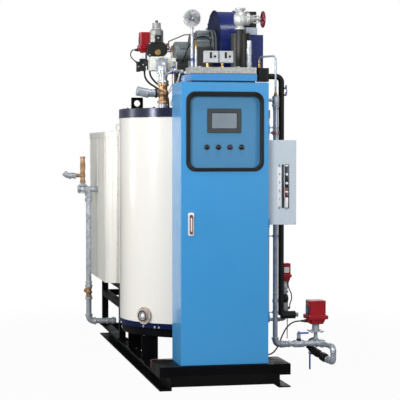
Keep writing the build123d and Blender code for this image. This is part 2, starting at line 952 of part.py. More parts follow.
# Instrument stand pipes and a level probe
gauge_z = tray_top + gauge_rise
gauge_place_y = cabinet_front + gauge_y
with BuildPart() as stands:
    rod((gauge_x, gauge_place_y, tray_top),
        (gauge_x, gauge_place_y, gauge_z - gauge_r), gauge_pipe_r)
    rod((gauge_x + stand_gap, gauge_place_y, tray_top),
        (gauge_x + stand_gap, gauge_place_y, tray_top + stand_height), gauge_pipe_r)
    for share in stand_nut_shares:
        nut_z = tray_top + share * (gauge_z - gauge_r - tray_top)
        rod((gauge_x, gauge_place_y, nut_z), (gauge_x, gauge_place_y, nut_z + gauge_pipe_r),
            gauge_pipe_r * stand_nut_ratio, 6)
    probe_place_y = cabinet_front + probe_y
    rod((probe_x, probe_place_y, tray_top), (probe_x, probe_place_y, tray_top + probe_neck),
        probe_r * cos(radians(45)))
    rod((probe_x, probe_place_y, tray_top + probe_neck / 2),
        (probe_x, probe_place_y, tray_top + probe_neck), probe_r, 6)
    rod((probe_x, probe_place_y, tray_top + probe_neck),
        (probe_x, probe_place_y, tray_top + probe_height), probe_r * cos(radians(30)))
    rod((probe_x, probe_place_y, tray_top + probe_height / 2),
        (probe_x, probe_place_y, tray_top + probe_height / 2 + probe_neck), probe_r)
save("instrument_stand_pipes", stands)

# Pressure gauge
with BuildPart() as gauge:
    with Locations(Plane(origin=(gauge_x, gauge_place_y, gauge_z), z_dir=(0, -1, 0))):
        Cylinder(gauge_r - gauge_rim / 2, gauge_depth)
        with Locations((0, 0, gauge_depth / 2 - gauge_rim)):
            Cylinder(gauge_r, 2 * gauge_rim)
        with Locations((0, 0, gauge_depth / 2)):
            Cylinder(gauge_r - gauge_rim, 2 * gauge_rim, mode=Mode.SUBTRACT)
save("pressure_gauge", gauge)

# Copper line from the gauge back to the gas train
copper_z = gauge_z - gauge_r - 2 * fitting_r
gas_world_y = cabinet_front + gas_y
with BuildPart() as copper:
    pipe(
        (
            (gauge_x - gauge_pipe_r, gauge_place_y, copper_z),
            (gauge_x - 2 * fitting_r, gauge_place_y, copper_z),
            (gauge_x - 2 * fitting_r, gas_world_y, copper_z),
            (gauge_x - 2 * fitting_r, gas_world_y, copper_z - fitting_length),
        ),
        copper_r, 3 * copper_r,
    )
save("copper_line", copper)

# Blower: a scroll on its side with the outlet duct down to the boiler
blower_z = boiler_top + blower_rise
blower_y = boiler_y - blower_ahead
duct_back = blower_y + blower_radius
with BuildPart() as blower:
    with BuildSketch(Plane.YZ.offset(blower_x)):
        with Locations((blower_y, blower_z)):
            Circle(blower_radius)
        with Locations((duct_back - blower_duct_depth / 2, (blower_z + boiler_top) / 2)):
            Rectangle(blower_duct_depth, blower_rise)
    extrude(amount=blower_width)
    for x in (blower_x, blower_x + blower_width - blower_lip_thick):
        with BuildSketch(Plane.YZ.offset(x)):
            with Locations((blower_y, blower_z)):
                Circle(blower_radius + blower_lip)
        extrude(amount=blower_lip_thick)
    box((blower_x - 2 * blower_lip, duct_back - blower_duct_depth - 2 * blower_lip, boiler_top),
        (blower_x + blower_width + 2 * blower_lip, duct_back + 2 * blower_lip,
         boiler_top + blower_lip))
save("blower_housing", blower)

# Blower motor with cooling fins, end flange, terminal box and lifting eye
motor_top = blower_z + motor_r
eye_x = blower_x - hub_flange_thick - eye_r
with BuildPart() as motor:
    with BuildSketch(Plane.YZ.offset(blower_x - motor_length)):
        with Locations((blower_y, blower_z)):
            Circle(motor_r - motor_fin_depth)
            with PolarLocations(motor_r - motor_fin_depth, motor_fins):
                Rectangle(2 * motor_fin_depth, motor_fin_thick)
    extrude(amount=motor_length)
    rod((blower_x - hub_flange_thick, blower_y, blower_z), (blower_x, blower_y, blower_z),
        hub_flange_r)
    terminal_x = blower_x - hub_flange_thick - eye_r - terminal_length / 2
    box((terminal_x - terminal_length / 2, blower_y - terminal_width, motor_top - terminal_height),
        (terminal_x + terminal_length / 2, blower_y, motor_top + terminal_lid))
    rod((eye_x, blower_y, motor_top - motor_fin_depth), (eye_x, blower_y, motor_top + eye_wire),
        2 * eye_wire)
    with BuildSketch(Plane(origin=(eye_x, blower_y + eye_r - eye_wire, motor_top + eye_r),
                           z_dir=(0, 0, 1))):
        Circle(eye_wire)
    revolve(axis=Axis((eye_x, blower_y, motor_top + eye_r), (1, 0, 0)))
save("blower_motor", motor)

# Air inlet box on the scroll's right side
with BuildPart() as inlet:
    with Locations((blower_x + blower_width, blower_y, blower_z - inlet_height / 4)):
        Box(inlet_length, inlet_depth, inlet_height,
            align=(Align.MIN, Align.CENTER, Align.CENTER))
save("blower_inlet_box", inlet)

# Steam separator, an upright lagged cylinder behind the cabinet
separator_y = cabinet_back + separator_behind
with BuildPart() as separator:
    rod((separator_x, separator_y, separator_base),
        (separator_x, separator_y, separator_top), separator_r)
    rod((separator_x, separator_y, separator_top),
        (separator_x, separator_y, separator_top + separator_neck), separator_neck_r)
save("steam_separator", separator)

# Steam valve with a sideways bonnet and its handwheel
valve_base = separator_top + separator_neck
valve_mid = valve_base + valve_height / 2
with BuildPart() as valve:
    rod((separator_x, separator_y, valve_base),
        (separator_x, separator_y, valve_base + valve_flange_thick), valve_flange_r)
    rod((separator_x, separator_y, valve_base),
        (separator_x, separator_y, valve_base + valve_height), valve_neck_r)
    rod((separator_x, separator_y, valve_base + valve_height - valve_flange_thick),
        (separator_x, separator_y, valve_base + valve_height), valve_flange_r)
    with Locations((separator_x, separator_y, valve_mid)):
        Sphere(valve_body_r)
    bonnet_x = separator_x + valve_body_r
    rod((separator_x, separator_y, valve_mid), (bonnet_x, separator_y, valve_mid),
        valve_neck_r)
    rod((bonnet_x, separator_y, valve_mid),
        (bonnet_x + bonnet_length, separator_y, valve_mid), bonnet_r)
    stem_start = bonnet_x + bonnet_length
    rod((stem_start, separator_y, valve_mid),
        (stem_start + stem_length, separator_y, valve_mid), stem_r)
    for side in (-1, 1):
        arm = valve_mid + side * yoke_reach
        box((stem_start, separator_y - yoke_width / 2, arm - yoke_width / 2),
            (stem_start + yoke_length, separator_y + yoke_width / 2, arm + yoke_width / 2))
    box((stem_start + yoke_length - yoke_width, separator_y - yoke_width / 2,
         valve_mid - yoke_reach),
        (stem_start + yoke_length, separator_y + yoke_width / 2, valve_mid + yoke_reach))
save("steam_valve", valve)

wheel_x = stem_start + stem_length - wheel_hub_length
with BuildPart() as wheel:
    wheel_mid = wheel_x + wheel_hub_length / 2
    with BuildSketch(Plane.XZ.offset(-separator_y)):
        with Locations((wheel_mid, valve_mid + wheel_r - wheel_rim_r)):
            Circle(wheel_rim_r)
    revolve(axis=Axis((wheel_mid, separator_y, valve_mid), (1, 0, 0)))
    rod((wheel_x, separator_y, valve_mid), (wheel_x + wheel_hub_length, separator_y, valve_mid),
        wheel_hub_r)
    with BuildSketch(Plane.YZ.offset(wheel_mid - wheel_rim_r / 2)):
        with Locations((separator_y, valve_mid)):
            with PolarLocations(0, wheel_spokes):
                with Locations(((wheel_r - wheel_rim_r) / 2, 0)):
                    Rectangle(wheel_r - wheel_rim_r, wheel_rim_r)
    extrude(amount=wheel_rim_r)
    rod((wheel_x - overrun, separator_y, valve_mid),
        (wheel_x + wheel_hub_length + overrun, separator_y, valve_mid), stem_r + wheel_gap,
        mode=Mode.SUBTRACT)
save("steam_valve_wheel", wheel)

# Lagged steam line: block, run, bend and drop to the stub
with BuildPart() as lagging:
    rod((separator_x + separator_r, separator_y, steam_line_z),
        (steam_block_x, separator_y, steam_line_z), lagging_r)
    with Locations((steam_block_x, separator_y, steam_line_z + lagging_r / 2)):
        Box(steam_block_width, steam_block_width, steam_block_height,
            align=(Align.MIN, Align.CENTER, Align.CENTER))
    pipe(
        (
            (steam_block_x + steam_block_width / 2, separator_y, steam_line_z),
            (lagging_x, separator_y, steam_line_z),
            (lagging_x, separator_y, lagging_end_z),
        ),
        lagging_r, lagging_bend,
    )
    rod((lagging_x, separator_y, lagging_end_z),
        (lagging_x + stub_reach, separator_y, lagging_end_z), stub_r)
save("lagged_steam_line", lagging)

# Water column and the small loop above it
column_world_y = cabinet_front + column_y
column_foot = Vector(column_x, column_world_y, column_base)
line_end = Vector(*loop_point(tee_share, blow_top))
line_dir = (line_end - column_foot).normalized()
line_start = column_foot + line_dir * fitting_length
ball_mid = column_foot + line_dir * (ball_x - column_x)
with BuildPart() as column:
    pipe(
        (
            (column_x, column_world_y, column_top),
            column_foot,
            line_start,
        ),
        column_r, column_r * 3 / 2,
    )
    rod((column_x, column_world_y, column_top),
        (column_x, column_world_y, column_top + 2 * fitting_r), fitting_r, 6)
    for z in clamp_heights:
        rod((cabinet_side, column_world_y, z), (column_x, column_world_y, z), clamp_r)
        rod((column_x, column_world_y, z - 2 * clamp_r), (column_x, column_world_y, z + 2 * clamp_r),
            column_r + clamp_r)
    rod((cabinet_side, column_world_y, column_top + fitting_r),
        (column_x, column_world_y, column_top + fitting_r), column_r / 2)
    pipe(
        (
            (column_x, column_world_y, column_top + 2 * fitting_r),
            (column_x, column_world_y, loop_top),
            (loop_x, separator_y, loop_top),
            (loop_x, separator_y, steam_line_z + (lagging_r + steam_block_height) / 2),
        ),
        loop_r, loop_bend,
    )
save("water_column", column)

# Blowdown pipework: the cross line, its ball valve and the upright loop at its end
loop_dir = (Vector(*loop_point(1, 0)) - Vector(*loop_point(0, 0))).normalized()
valve_mid_low = Vector(*loop_point(actuator_share, blow_top))
mount_base = actuator_base - 2 * mount_post_r - mount_plate_thick
with BuildPart() as blowdown:
    rod(line_start, line_end, blow_r)
    rod(line_start, line_start + line_dir * fitting_length, fitting_r, 6)
    rod(ball_mid - line_dir * ball_length / 2, ball_mid + line_dir * ball_length / 2, ball_r)
    rod(ball_mid, ball_mid + Vector(0, 0, ball_r + ball_stem_height), ball_stem_r)
    rod(ball_mid, ball_mid + Vector(0, 0, ball_r + ball_stem_height + 2 * lever_thick),
        ball_stem_r / 2)
    pipe(
        (
            loop_point(join_top_share, blow_top),
            loop_point(1, blow_top),
            loop_point(1, blow_bottom_front),
            loop_point(join_low_share, bottom_z(join_low_share)),
        ),
        blow_r, blow_bend,
    )
    rod(line_end - loop_dir * fitting_length, line_end + loop_dir * fitting_length, fitting_r)
    rod(valve_mid_low - loop_dir * fitting_length, valve_mid_low + loop_dir * fitting_length,
        ball_r, 8)
    rod(valve_mid_low, (valve_mid_low.X, valve_mid_low.Y, mount_base), ball_stem_r)
    with Locations((valve_mid_low.X, valve_mid_low.Y, mount_base)):
        Box(mount_plate, mount_plate, mount_plate_thick,
            align=(Align.CENTER, Align.CENTER, Align.MIN))
    rod((valve_mid_low.X, valve_mid_low.Y, mount_base),
        (valve_mid_low.X, valve_mid_low.Y, actuator_base), mount_post_r)
save("blowdown_pipework", blowdown)

# Dark drain pipe that closes the loop, with its own valve
drain_mid = Vector(*loop_point(drain_valve_share, bottom_z(drain_valve_share)))
drain_run = (Vector(*loop_point(1, blow_bottom_front))
             - Vector(*loop_point(0, blow_bottom_back))).normalized()
drain_out = Vector(loop_dir.Y, -loop_dir.X, 0)
drain_stem_end = drain_mid + drain_out * (ball_r + ball_stem_height / 2)
with BuildPart() as drain:
    pipe(
        (
            loop_point(join_low_share, bottom_z(join_low_share)),
            loop_point(0, blow_bottom_back),
            loop_point(0, blow_top),
            loop_point(join_top_share, blow_top),
        ),
        dark_r, dark_bend,
    )
    rod(drain_mid - drain_run * ball_length / 2, drain_mid + drain_run * ball_length / 2,
        ball_r + overrun)
    rod(drain_mid, drain_stem_end, ball_stem_r)
    rod(drain_mid, drain_stem_end + drain_out * 2 * lever_thick, ball_stem_r / 2)
save("drain_pipe", drain)


def lever(name, seat, out, along, length):
    """Make one flat valve lever on its stem's shoulder, with its hub and hole."""
    with BuildPart() as piece:
        with BuildSketch(Plane(origin=seat, x_dir=along, z_dir=out)):
            Circle(ball_stem_r)
            with Locations((length / 2, 0)):
                SlotOverall(length + lever_width, lever_width)
            Circle(ball_stem_r / 2 + hinge_clearance, mode=Mode.SUBTRACT)
        extrude(amount=lever_thick)
    save(name, piece)


lever_clear = handle_gap / 2
up = Vector(0, 0, 1)
lever("blowdown_lever", ball_mid + up * (ball_r + ball_stem_height + lever_clear), up,
      line_dir, lever_length)
lever("drain_lever", drain_stem_end + drain_out * lever_clear, drain_out, Vector(0, 0, -1),
      drain_lever_length)


def actuator(x, y, base, width, depth, height):
    """Add one motor actuator: a tapered foot, a bolted rim and a rounded cover."""
    rim_low = base + height * actuator_foot_share
    rim_high = rim_low + height * actuator_rim_share
    rim = width * actuator_ledge_share
    foot = Plane.XY.offset(base)
    with BuildSketch(foot) as small:
        with Locations((x, y)):
            RectangleRounded(width - 2 * rim, depth - 2 * rim, rim)
    with BuildSketch(Plane.XY.offset(rim_low)) as large:
        with Locations((x, y)):
            RectangleRounded(width, depth, rim)
    loft([small.sketch.face(), large.sketch.face()])
    with BuildSketch(Plane.XY.offset(rim_low)) as ledge:
        with Locations((x, y)):
            RectangleRounded(width + 2 * rim, depth + 2 * rim, rim)
    extrude(ledge.sketch, amount=rim_high - rim_low)
    extrude(large.sketch, amount=height * (1 - actuator_foot_share))
    box((x - width / 2 - rim, y - depth / 4 - gland_r, rim_low - 2 * gland_r),
        (x, y - depth / 4 + gland_r, rim_low))


# Red motor actuators on the blowdown valve, the steam stub's valve and the gas line
upper_y = separator_y + upper_behind
gas_back_y = gas_world_y + gas_actuator_behind
gas_actuator_base = gas_pipe_z + gas_pipe_r + gas_actuator_rise
with BuildPart() as actuators:
    actuator(valve_mid_low.X, valve_mid_low.Y, actuator_base, actuator_width,
             actuator_depth, actuator_height)
    actuator(upper_x, upper_y, upper_base, upper_width, upper_depth, upper_height)
    actuator(gas_actuator_x, gas_back_y, gas_actuator_base, gas_actuator_width,
             gas_actuator_depth, gas_actuator_height)
save("valve_actuators", actuators)

# Small drain valve and pipe from the boiler's side up to its actuator, and the plug in
# the steam line's stub
stub_end = lagging_x + stub_reach
with BuildPart() as upper_valve:
    rod((stub_end, separator_y, lagging_end_z),
        (stub_end + plug_reach, separator_y, lagging_end_z), plug_r, 8)
    pipe(
        (
            (upper_x, upper_y, upper_base),
            (upper_x, upper_y, upper_pipe_z),
            (upper_turn_x, upper_y, upper_pipe_z),
            (upper_turn_x, boiler_y, upper_pipe_z),
        ),
        upper_pipe_r, upper_bend,
    )
    upper_body_low = upper_pipe_z + 4 * upper_body_r
    rod((upper_x, upper_y, upper_body_low), (upper_x, upper_y, upper_body_low + 2 * upper_body_r),
        upper_body_r, 6)
    rod((upper_x, upper_y, upper_base - 3 * upper_body_r), (upper_x, upper_y, upper_base),
        upper_body_r * cos(radians(30)))
    rod((0, boiler_y, base_top), (0, boiler_y, jacket_top), boiler_radius, mode=Mode.SUBTRACT)
save("upper_valve", upper_valve)

# Level gauge panel on the cabinet's right side
level_y = cabinet_front + level_front
with BuildPart() as level:
    box((cabinet_side, level_y, level_top - level_height),
        (cabinet_side + level_width, level_y + level_depth, level_top))
    fillet(level.faces().sort_by(Axis.Y)[0].edges(), cabinet_sheet)
    slot_high = level_top - level_slot_top
    with Locations((cabinet_side + level_slot_x, level_y, slot_high - level_slot_height / 2)):
        Box(level_slot_width, 2 * level_slot_depth, level_slot_height, mode=Mode.SUBTRACT)
save("level_gauge_panel", level)

# Riser pipes: the relief valve's base nipple, the riser with its bend, the outlet
safety_low = boiler_top + safety_base
safety_high = safety_low + safety_height
gas_block_low = safety_high + riser_height - gas_block_height / 2
gas_block_y = gas_world_y + riser_bend + riser_r
outlet_z = safety_low + safety_height / 2
with BuildPart() as riser:
    rod((riser_x, gas_world_y, boiler_top), (riser_x, gas_world_y, safety_low), riser_r)
    pipe(
        (
            (riser_x, gas_world_y, safety_high),
            (riser_x, gas_world_y, gas_block_low + gas_block_height / 2),
            (riser_x, gas_block_y, gas_block_low + gas_block_height / 2),
        ),
        riser_r, riser_bend,
    )
    pipe(
        (
            (riser_x - safety_r, gas_world_y, outlet_z),
            (riser_x - safety_r - outlet_reach / 2, gas_world_y, outlet_z),
            (riser_x - safety_r - outlet_reach, gas_world_y, outlet_z + outlet_elbow_r / 2),
        ),
        outlet_r, outlet_reach / 2,
    )
    rod((riser_x - safety_r - outlet_reach / 2, gas_world_y, outlet_z),
        (riser_x - safety_r - outlet_reach, gas_world_y, outlet_z + outlet_elbow_r / 2),
        outlet_elbow_r)
    pipe(
        (
            (riser_x, gas_world_y, gas_block_low + gas_block_height / 2 - elbow_length),
            (riser_x, gas_world_y, gas_block_low + gas_block_height / 2),
            (riser_x, gas_block_y, gas_block_low + gas_block_height / 2),
        ),
        elbow_r, riser_bend,
    )
    pipe(
        (
            (gas_actuator_x - fitting_length, gas_back_y, gas_pipe_z),
            (gas_block_x, gas_back_y, gas_pipe_z),
            (gas_block_x, gas_block_y + gas_block_depth, gas_pipe_z),
        ),
        gas_pipe_r, gas_pipe_r * 3 / 2,
    )
    rod((gas_actuator_x, gas_back_y, gas_pipe_z),
        (gas_actuator_x, gas_back_y, gas_actuator_base), gas_pipe_r * cos(radians(30)))
save("riser_pipes", riser)

# Bronze relief valve on the boiler's top
with BuildPart() as safety:
    rod((riser_x, gas_world_y, safety_low), (riser_x, gas_world_y, safety_low + safety_nut),
        safety_r * cos(radians(30)), 6)
    rod((riser_x, gas_world_y, safety_low), (riser_x, gas_world_y, safety_high), riser_r)
    with Locations((riser_x, gas_world_y, outlet_z)):
        Sphere(safety_r)
    rod((riser_x, gas_world_y, safety_high - safety_nut), (riser_x, gas_world_y, safety_high),
        safety_r, 6)
    rod((riser_x, gas_world_y, outlet_z), (riser_x - safety_r, gas_world_y, outlet_z), outlet_r)
    rod((riser_x, gas_world_y, outlet_z),
        (riser_x, gas_world_y - safety_r - safety_nut / 2, outlet_z), safety_nut / 2, 6)
save("boiler_relief_valve", safety)

# Gas valve block with its regulator and solenoid
with BuildPart() as gas_block:
    box((gas_block_x - gas_block_width / 2, gas_block_y, gas_block_low),
        (gas_block_x + gas_block_width / 2, gas_block_y + gas_block_depth,
         gas_block_low + gas_block_height))
    fillet(gas_block.edges(), cover_corner)
save("gas_block", gas_block)

regulator_low = gas_block_low + gas_block_height
regulator_mid_y = gas_block_y + gas_block_depth / 2
with BuildPart() as regulator:
    with Locations((regulator_x, regulator_mid_y, regulator_low)):
        Box(regulator_width, regulator_depth, regulator_height,
            align=(Align.CENTER, Align.CENTER, Align.MIN))
    chamfer(regulator.edges().filter_by(Axis.Y), regulator_height / 4)
save("gas_regulator", regulator)

solenoid_low = regulator_low + regulator_height
with BuildPart() as solenoid:
    with BuildSketch(Plane.XY.offset(solenoid_low)):
        with Locations((regulator_x, regulator_mid_y)):
            RegularPolygon(solenoid_r, 8, rotation=180 / 8)
    extrude(amount=solenoid_height)
    chamfer(solenoid.edges().group_by(Axis.Z)[-1], solenoid_shoulder)
    with BuildSketch(Plane.XY.offset(solenoid_low + solenoid_height)):
        with Locations((regulator_x, regulator_mid_y)):
            Circle(solenoid_cap_r - solenoid_rib)
            with PolarLocations(solenoid_cap_r - solenoid_rib, solenoid_ribs):
                Rectangle(2 * solenoid_rib, solenoid_rib)
    extrude(amount=solenoid_cap)
save("gas_solenoid", solenoid)

# Feed pump motor on a black stand
feed_motor_y = gas_world_y + feed_motor_behind
with BuildPart() as feed_motor:
    rod((feed_motor_x, feed_motor_y, feed_motor_z),
        (feed_motor_x + feed_motor_length, feed_motor_y, feed_motor_z), feed_motor_r)
    fillet(feed_motor.edges().sort_by(Axis.X)[0], feed_motor_r / 3)
save("feed_motor", feed_motor)

# Black stands on the boiler's cover, each cut to the motor that lies in it
stand_front = feed_motor_y - feed_motor_r / 2
stand_left = feed_motor_x + foot_thick
plinth_right = blower_x - hub_flange_thick
plinth_top = blower_z - plinth_drop
plinth_y = cabinet_front + plinth_front
with BuildPart() as stands:
    box((stand_left, stand_front, boiler_top),
        (feed_motor_x + feed_motor_length - foot_thick, stand_front + feed_motor_r,
         feed_motor_z - feed_motor_r / 2))
    box((blower_x - motor_length, plinth_y, boiler_top),
        (plinth_right, plinth_y + plinth_depth, plinth_top))
    rod((feed_motor_x, feed_motor_y, feed_motor_z),
        (feed_motor_x + feed_motor_length, feed_motor_y, feed_motor_z), feed_motor_r,
        mode=Mode.SUBTRACT)
    rod((blower_x - motor_length, blower_y, blower_z), (blower_x, blower_y, blower_z),
        (motor_r ** 2 + motor_fin_thick ** 2 / 4) ** (1 / 2), mode=Mode.SUBTRACT)
save("motor_stands", stands)


def gland(tip, seat, radius):
    """Add a cable gland: a hexagon nut at its seat and a slimmer neck out to its tip."""
    nut_end = Vector(seat) + (Vector(tip) - Vector(seat)) * gland_nut_share
    rod(seat, nut_end, radius, 6)
    rod(nut_end, tip, radius * gland_neck_share)


# Where each cable starts and ends
main_exit = (valve_mid_low.X - actuator_width * (1 / 2 + actuator_ledge_share),
             valve_mid_low.Y - actuator_depth / 4,
             actuator_base + actuator_height * actuator_foot_share - gland_r)
gas_exit = (gas_actuator_x - gas_actuator_width * (1 / 2 + actuator_ledge_share), gas_back_y,
            gas_actuator_base + gas_actuator_height * actuator_foot_share - gland_r)
connector_back = gas_back_y - gas_pipe_r
connector_y = connector_back - connector_depth / 2
upper_exit = (upper_x + upper_width / 4, upper_y - upper_depth / 4, upper_base)
stand_exit = (stand_left + hose_r + gland_r * 3, stand_front,
              feed_motor_z - feed_motor_r - upper_gland_r * 3 / 2)



def from_cover(*points):
    """Points given from the cabinet's front and the boiler's top."""
    return tuple((x, cabinet_front + y, boiler_top + z) for x, y, z in points)


# Routes of the cables, from the actuators and motors to where they end
main_route = (
    (main_exit[0] - gland_length, main_exit[1], main_exit[2]),
    (569, main_exit[1], main_exit[2]),
    (530, cabinet_front + 282, 394),
    (497, cabinet_front + 289, 357),
    (473, cabinet_front + 293, 308),
    (453, cabinet_front + 294, 258),
    (430, cabinet_front + 293, 212),
    (399, cabinet_front + 291, 184),
    (361, cabinet_front + 290, 176),
    (cabinet_side + gland_length * 2 / 3, cabinet_front + 290, 176),
)
upper_route = (
    (upper_exit[0], upper_exit[1], upper_base - upper_gland),
    (upper_exit[0], upper_exit[1], 638),
    (570, cabinet_front + 452, 611),
    (585, cabinet_front + 459, 581),
    (588, cabinet_front + 464, 552),
    (584, cabinet_front + 469, 529),
    (576, cabinet_front + 475, 510),
    (576, cabinet_front + 475, 490),
)
gas_route = (
    (gas_exit[0] - upper_gland * 3 / 2, gas_back_y, gas_exit[2]),
    (gas_exit[0] - upper_gland * 5 / 2, gas_back_y, gas_exit[2]),
    *from_cover((-490, 942, 412), (-496, 937, 394), (-493, 930, 375), (-483, 921, 360),
                (-470, 912, 348)),
)
left_hose_route = (
    *from_cover((-398, 907.5, 272), (-398, 907.5, 238), (-383, 907.5, 206), (-357, 907, 180),
                (-321, 907, 160), (-287, 906, 134), (-264, 905, 99), (-256, 904, 61)),
    (-256, cabinet_front + 904, boiler_top + upper_gland),
)
right_hose_route = (
    *from_cover((-359, 907.5, 281), (-359, 907.5, 248), (-341, 908, 218), (-316, 910, 191),
                (-286, 913, 166), (-257, 916, 139), (-234, 918, 104), (-219, 919, 66)),
    (-219, cabinet_front + 919, boiler_top + upper_gland),
)
motor_route = (
    (30, cabinet_front + 625, plinth_top + upper_gland),
    *from_cover((30, 625, 469), (19, 624, 492), (-7, 623, 507), (-40, 623, 507),
                (-72, 625, 494), (-100, 633, 470), (-121, 650, 438), (-132, 674, 404),
                (-140, 698, 372)),
    (stand_exit[0], stand_front - upper_gland * 3, stand_exit[2]),
    (stand_exit[0], stand_front - upper_gland, stand_exit[2]),
)
# Black cable glands and plug connectors
with BuildPart() as glands:
    gland(main_route[0], main_exit, gland_r)
    gland(main_route[-1], (cabinet_side, *main_route[-1][1:]), gland_r)
    gland(upper_route[0], upper_exit, upper_gland_r)
    gland(gas_route[0], gas_exit, gland_r)
    gland(motor_route[0], (*motor_route[0][:2], plinth_top), upper_gland_r)
    gland(motor_route[-1], (stand_exit[0], stand_front, stand_exit[2]), upper_gland_r)
    for route in (left_hose_route, right_hose_route):
        gland(route[-1], (*route[-1][:2], boiler_top), gland_r)
    for left, right, low, high in connector_places:
        box((left, connector_back - connector_depth, boiler_top + low),
            (right, connector_back, boiler_top + high))
    tip, before = Vector(gas_route[-1]), Vector(gas_route[-2])
    gland(tip, tip + (tip - before).normalized() * gland_length * 2 / 3, upper_gland_r)
    body_side = upper_x + upper_body_r
    box((body_side, upper_y - upper_gland_r, upper_body_low - upper_gland_r),
        (body_side + 2 * upper_gland_r, upper_y + upper_gland_r, upper_route[-1][2]))
    plug_front = regulator_mid_y - solenoid_r * cos(radians(180 / 8))
    box((regulator_x - plug_box / 2, plug_front - plug_box_depth, solenoid_low + solenoid_rib),
        (regulator_x + plug_box / 2, plug_front, solenoid_low + solenoid_rib + plug_box))
save("cable_glands", glands)

# The cables themselves
cord("main_actuator_cable", main_route, cable_r)
cord("upper_actuator_cable", upper_route, upper_cable_r)
cord("gas_actuator_cable", gas_route, upper_cable_r)
cord("left_conduit_hose", left_hose_route, hose_r)
cord("right_conduit_hose", right_hose_route, hose_r)
cord("blower_motor_cable", motor_route, motor_cable_r)
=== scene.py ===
from itertools import product
from math import cos, pi, radians, sin

import bmesh
import bpy
from bpy.props import FloatProperty, FloatVectorProperty, IntProperty, PointerProperty
from mathutils import Matrix, Vector


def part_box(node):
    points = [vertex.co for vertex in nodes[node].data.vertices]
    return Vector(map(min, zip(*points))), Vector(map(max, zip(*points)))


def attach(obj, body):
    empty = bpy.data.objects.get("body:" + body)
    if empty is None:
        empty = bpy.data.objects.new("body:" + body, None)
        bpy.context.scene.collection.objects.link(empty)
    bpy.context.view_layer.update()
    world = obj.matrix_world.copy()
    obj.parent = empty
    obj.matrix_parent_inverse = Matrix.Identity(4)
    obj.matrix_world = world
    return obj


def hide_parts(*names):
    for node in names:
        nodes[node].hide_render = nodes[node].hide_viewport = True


bl_info = {
    "name": "Skid steam boiler",
    "version": (1, 0, 0),
    "blender": (4, 5, 0),
    "location": "3D View > Sidebar > Boiler",
    "description": "Finishes, fittings and studio for an upright steam boiler on its skid",
    "category": "Object",
}

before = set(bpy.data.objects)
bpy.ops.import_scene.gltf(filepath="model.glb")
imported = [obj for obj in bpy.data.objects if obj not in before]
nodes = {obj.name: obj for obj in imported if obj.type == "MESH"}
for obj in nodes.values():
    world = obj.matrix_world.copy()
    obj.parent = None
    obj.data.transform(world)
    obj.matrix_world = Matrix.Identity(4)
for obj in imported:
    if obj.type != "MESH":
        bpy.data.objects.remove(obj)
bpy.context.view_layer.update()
finishes = {}

MM = 0.001
RIGHT, BACK, UP = Vector((1, 0, 0)), Vector((0, 1, 0)), Vector((0, 0, 1))
LEFT, FRONT, DOWN = -RIGHT, -BACK, -UP


def tint(red, green, blue):
    """A colour as a screen shows it, 0 to 255, in the linear values that shaders take."""
    levels = [v / 255 for v in (red, green, blue)]
    return (*(v / 12.92 if v <= 0.04045 else ((v + 0.055) / 1.055) ** 2.4 for v in levels), 1)


# Shader effects that several finishes share


class Wiring:
    """Adds nodes to one shader tree and links them."""

    def __init__(self, tree):
        self.tree = tree

    def put(self, value, socket):
        """Link a socket to another, or give it a plain value."""
        if isinstance(value, bpy.types.NodeSocket):
            self.tree.links.new(value, socket)
        else:
            socket.default_value = value

    def node(self, kind, sockets=None, **settings):
        node = self.tree.nodes.new(kind)
        for key, value in settings.items():
            setattr(node, key, value)
        for key, value in (sockets or {}).items():
            self.put(value, node.inputs[key])
        return node

    def maths(self, operation, first, second=0.0):
        return self.node("ShaderNodeMath", {0: first, 1: second}, operation=operation).outputs[0]

    def ramp(self, value, low, high, to_low=0.0, to_high=1.0):
        sockets = {0: value, 1: low, 2: high, 3: to_low, 4: to_high}
        return self.node("ShaderNodeMapRange", sockets, clamp=True).outputs[0]

    def blend(self, share, first, second):
        return self.node("ShaderNodeMix", {0: share, 6: first, 7: second},
                         data_type="RGBA").outputs[2]

    def place(self):
        """The object's own coordinates."""
        return self.node("ShaderNodeTexCoord").outputs["Object"]

    def noise(self, scale, detail, stretch=(1, 1, 1)):
        """Soft noise over the object's own coordinates, stretched."""
        where = self.node("ShaderNodeVectorMath", {0: self.place(), 1: stretch},
                          operation="MULTIPLY").outputs[0]
        sockets = {"Vector": where, "Scale": scale, "Detail": detail}
        return self.node("ShaderNodeTexNoise", sockets).outputs[0]

    def eye_rays(self):
        """One for rays from the camera or through a clear piece, nought for the rest."""
        rays = self.node("ShaderNodeLightPath").outputs
        return self.maths("MAXIMUM", rays["Is Camera Ray"], rays["Is Transmission Ray"])

    def mix_shaders(self, share, first, second):
        return self.node("ShaderNodeMixShader", {0: share, 1: first, 2: second}).outputs[0]


NUMBER, COLOUR, VECTOR = "NodeSocketFloat", "NodeSocketColor", "NodeSocketVector"
GREY = (0.5, 0.5, 0.5, 1)
EVEN = (1, 1, 1)


def effect(name, inputs, outputs):
    """Start a node group with named sockets; returns its wiring, inputs and outputs."""
    tree = bpy.data.node_groups.new(name, "ShaderNodeTree")
    for label, kind, value in inputs:
        socket = tree.interface.new_socket(label, in_out="INPUT", socket_type=kind)
        socket.default_value = value
    for label, kind in outputs:
        tree.interface.new_socket(label, in_out="OUTPUT", socket_type=kind)
    wires = Wiring(tree)
    source = wires.node("NodeGroupInput")
    return wires, source.outputs, wires.node("NodeGroupOutput").inputs


def colour_effect(name, other, *inputs):
    """Start a group that blends its colour with another one."""
    return effect(name, (("Colour", COLOUR, GREY), (other, COLOUR, GREY)) + inputs,
                  (("Colour", COLOUR),))


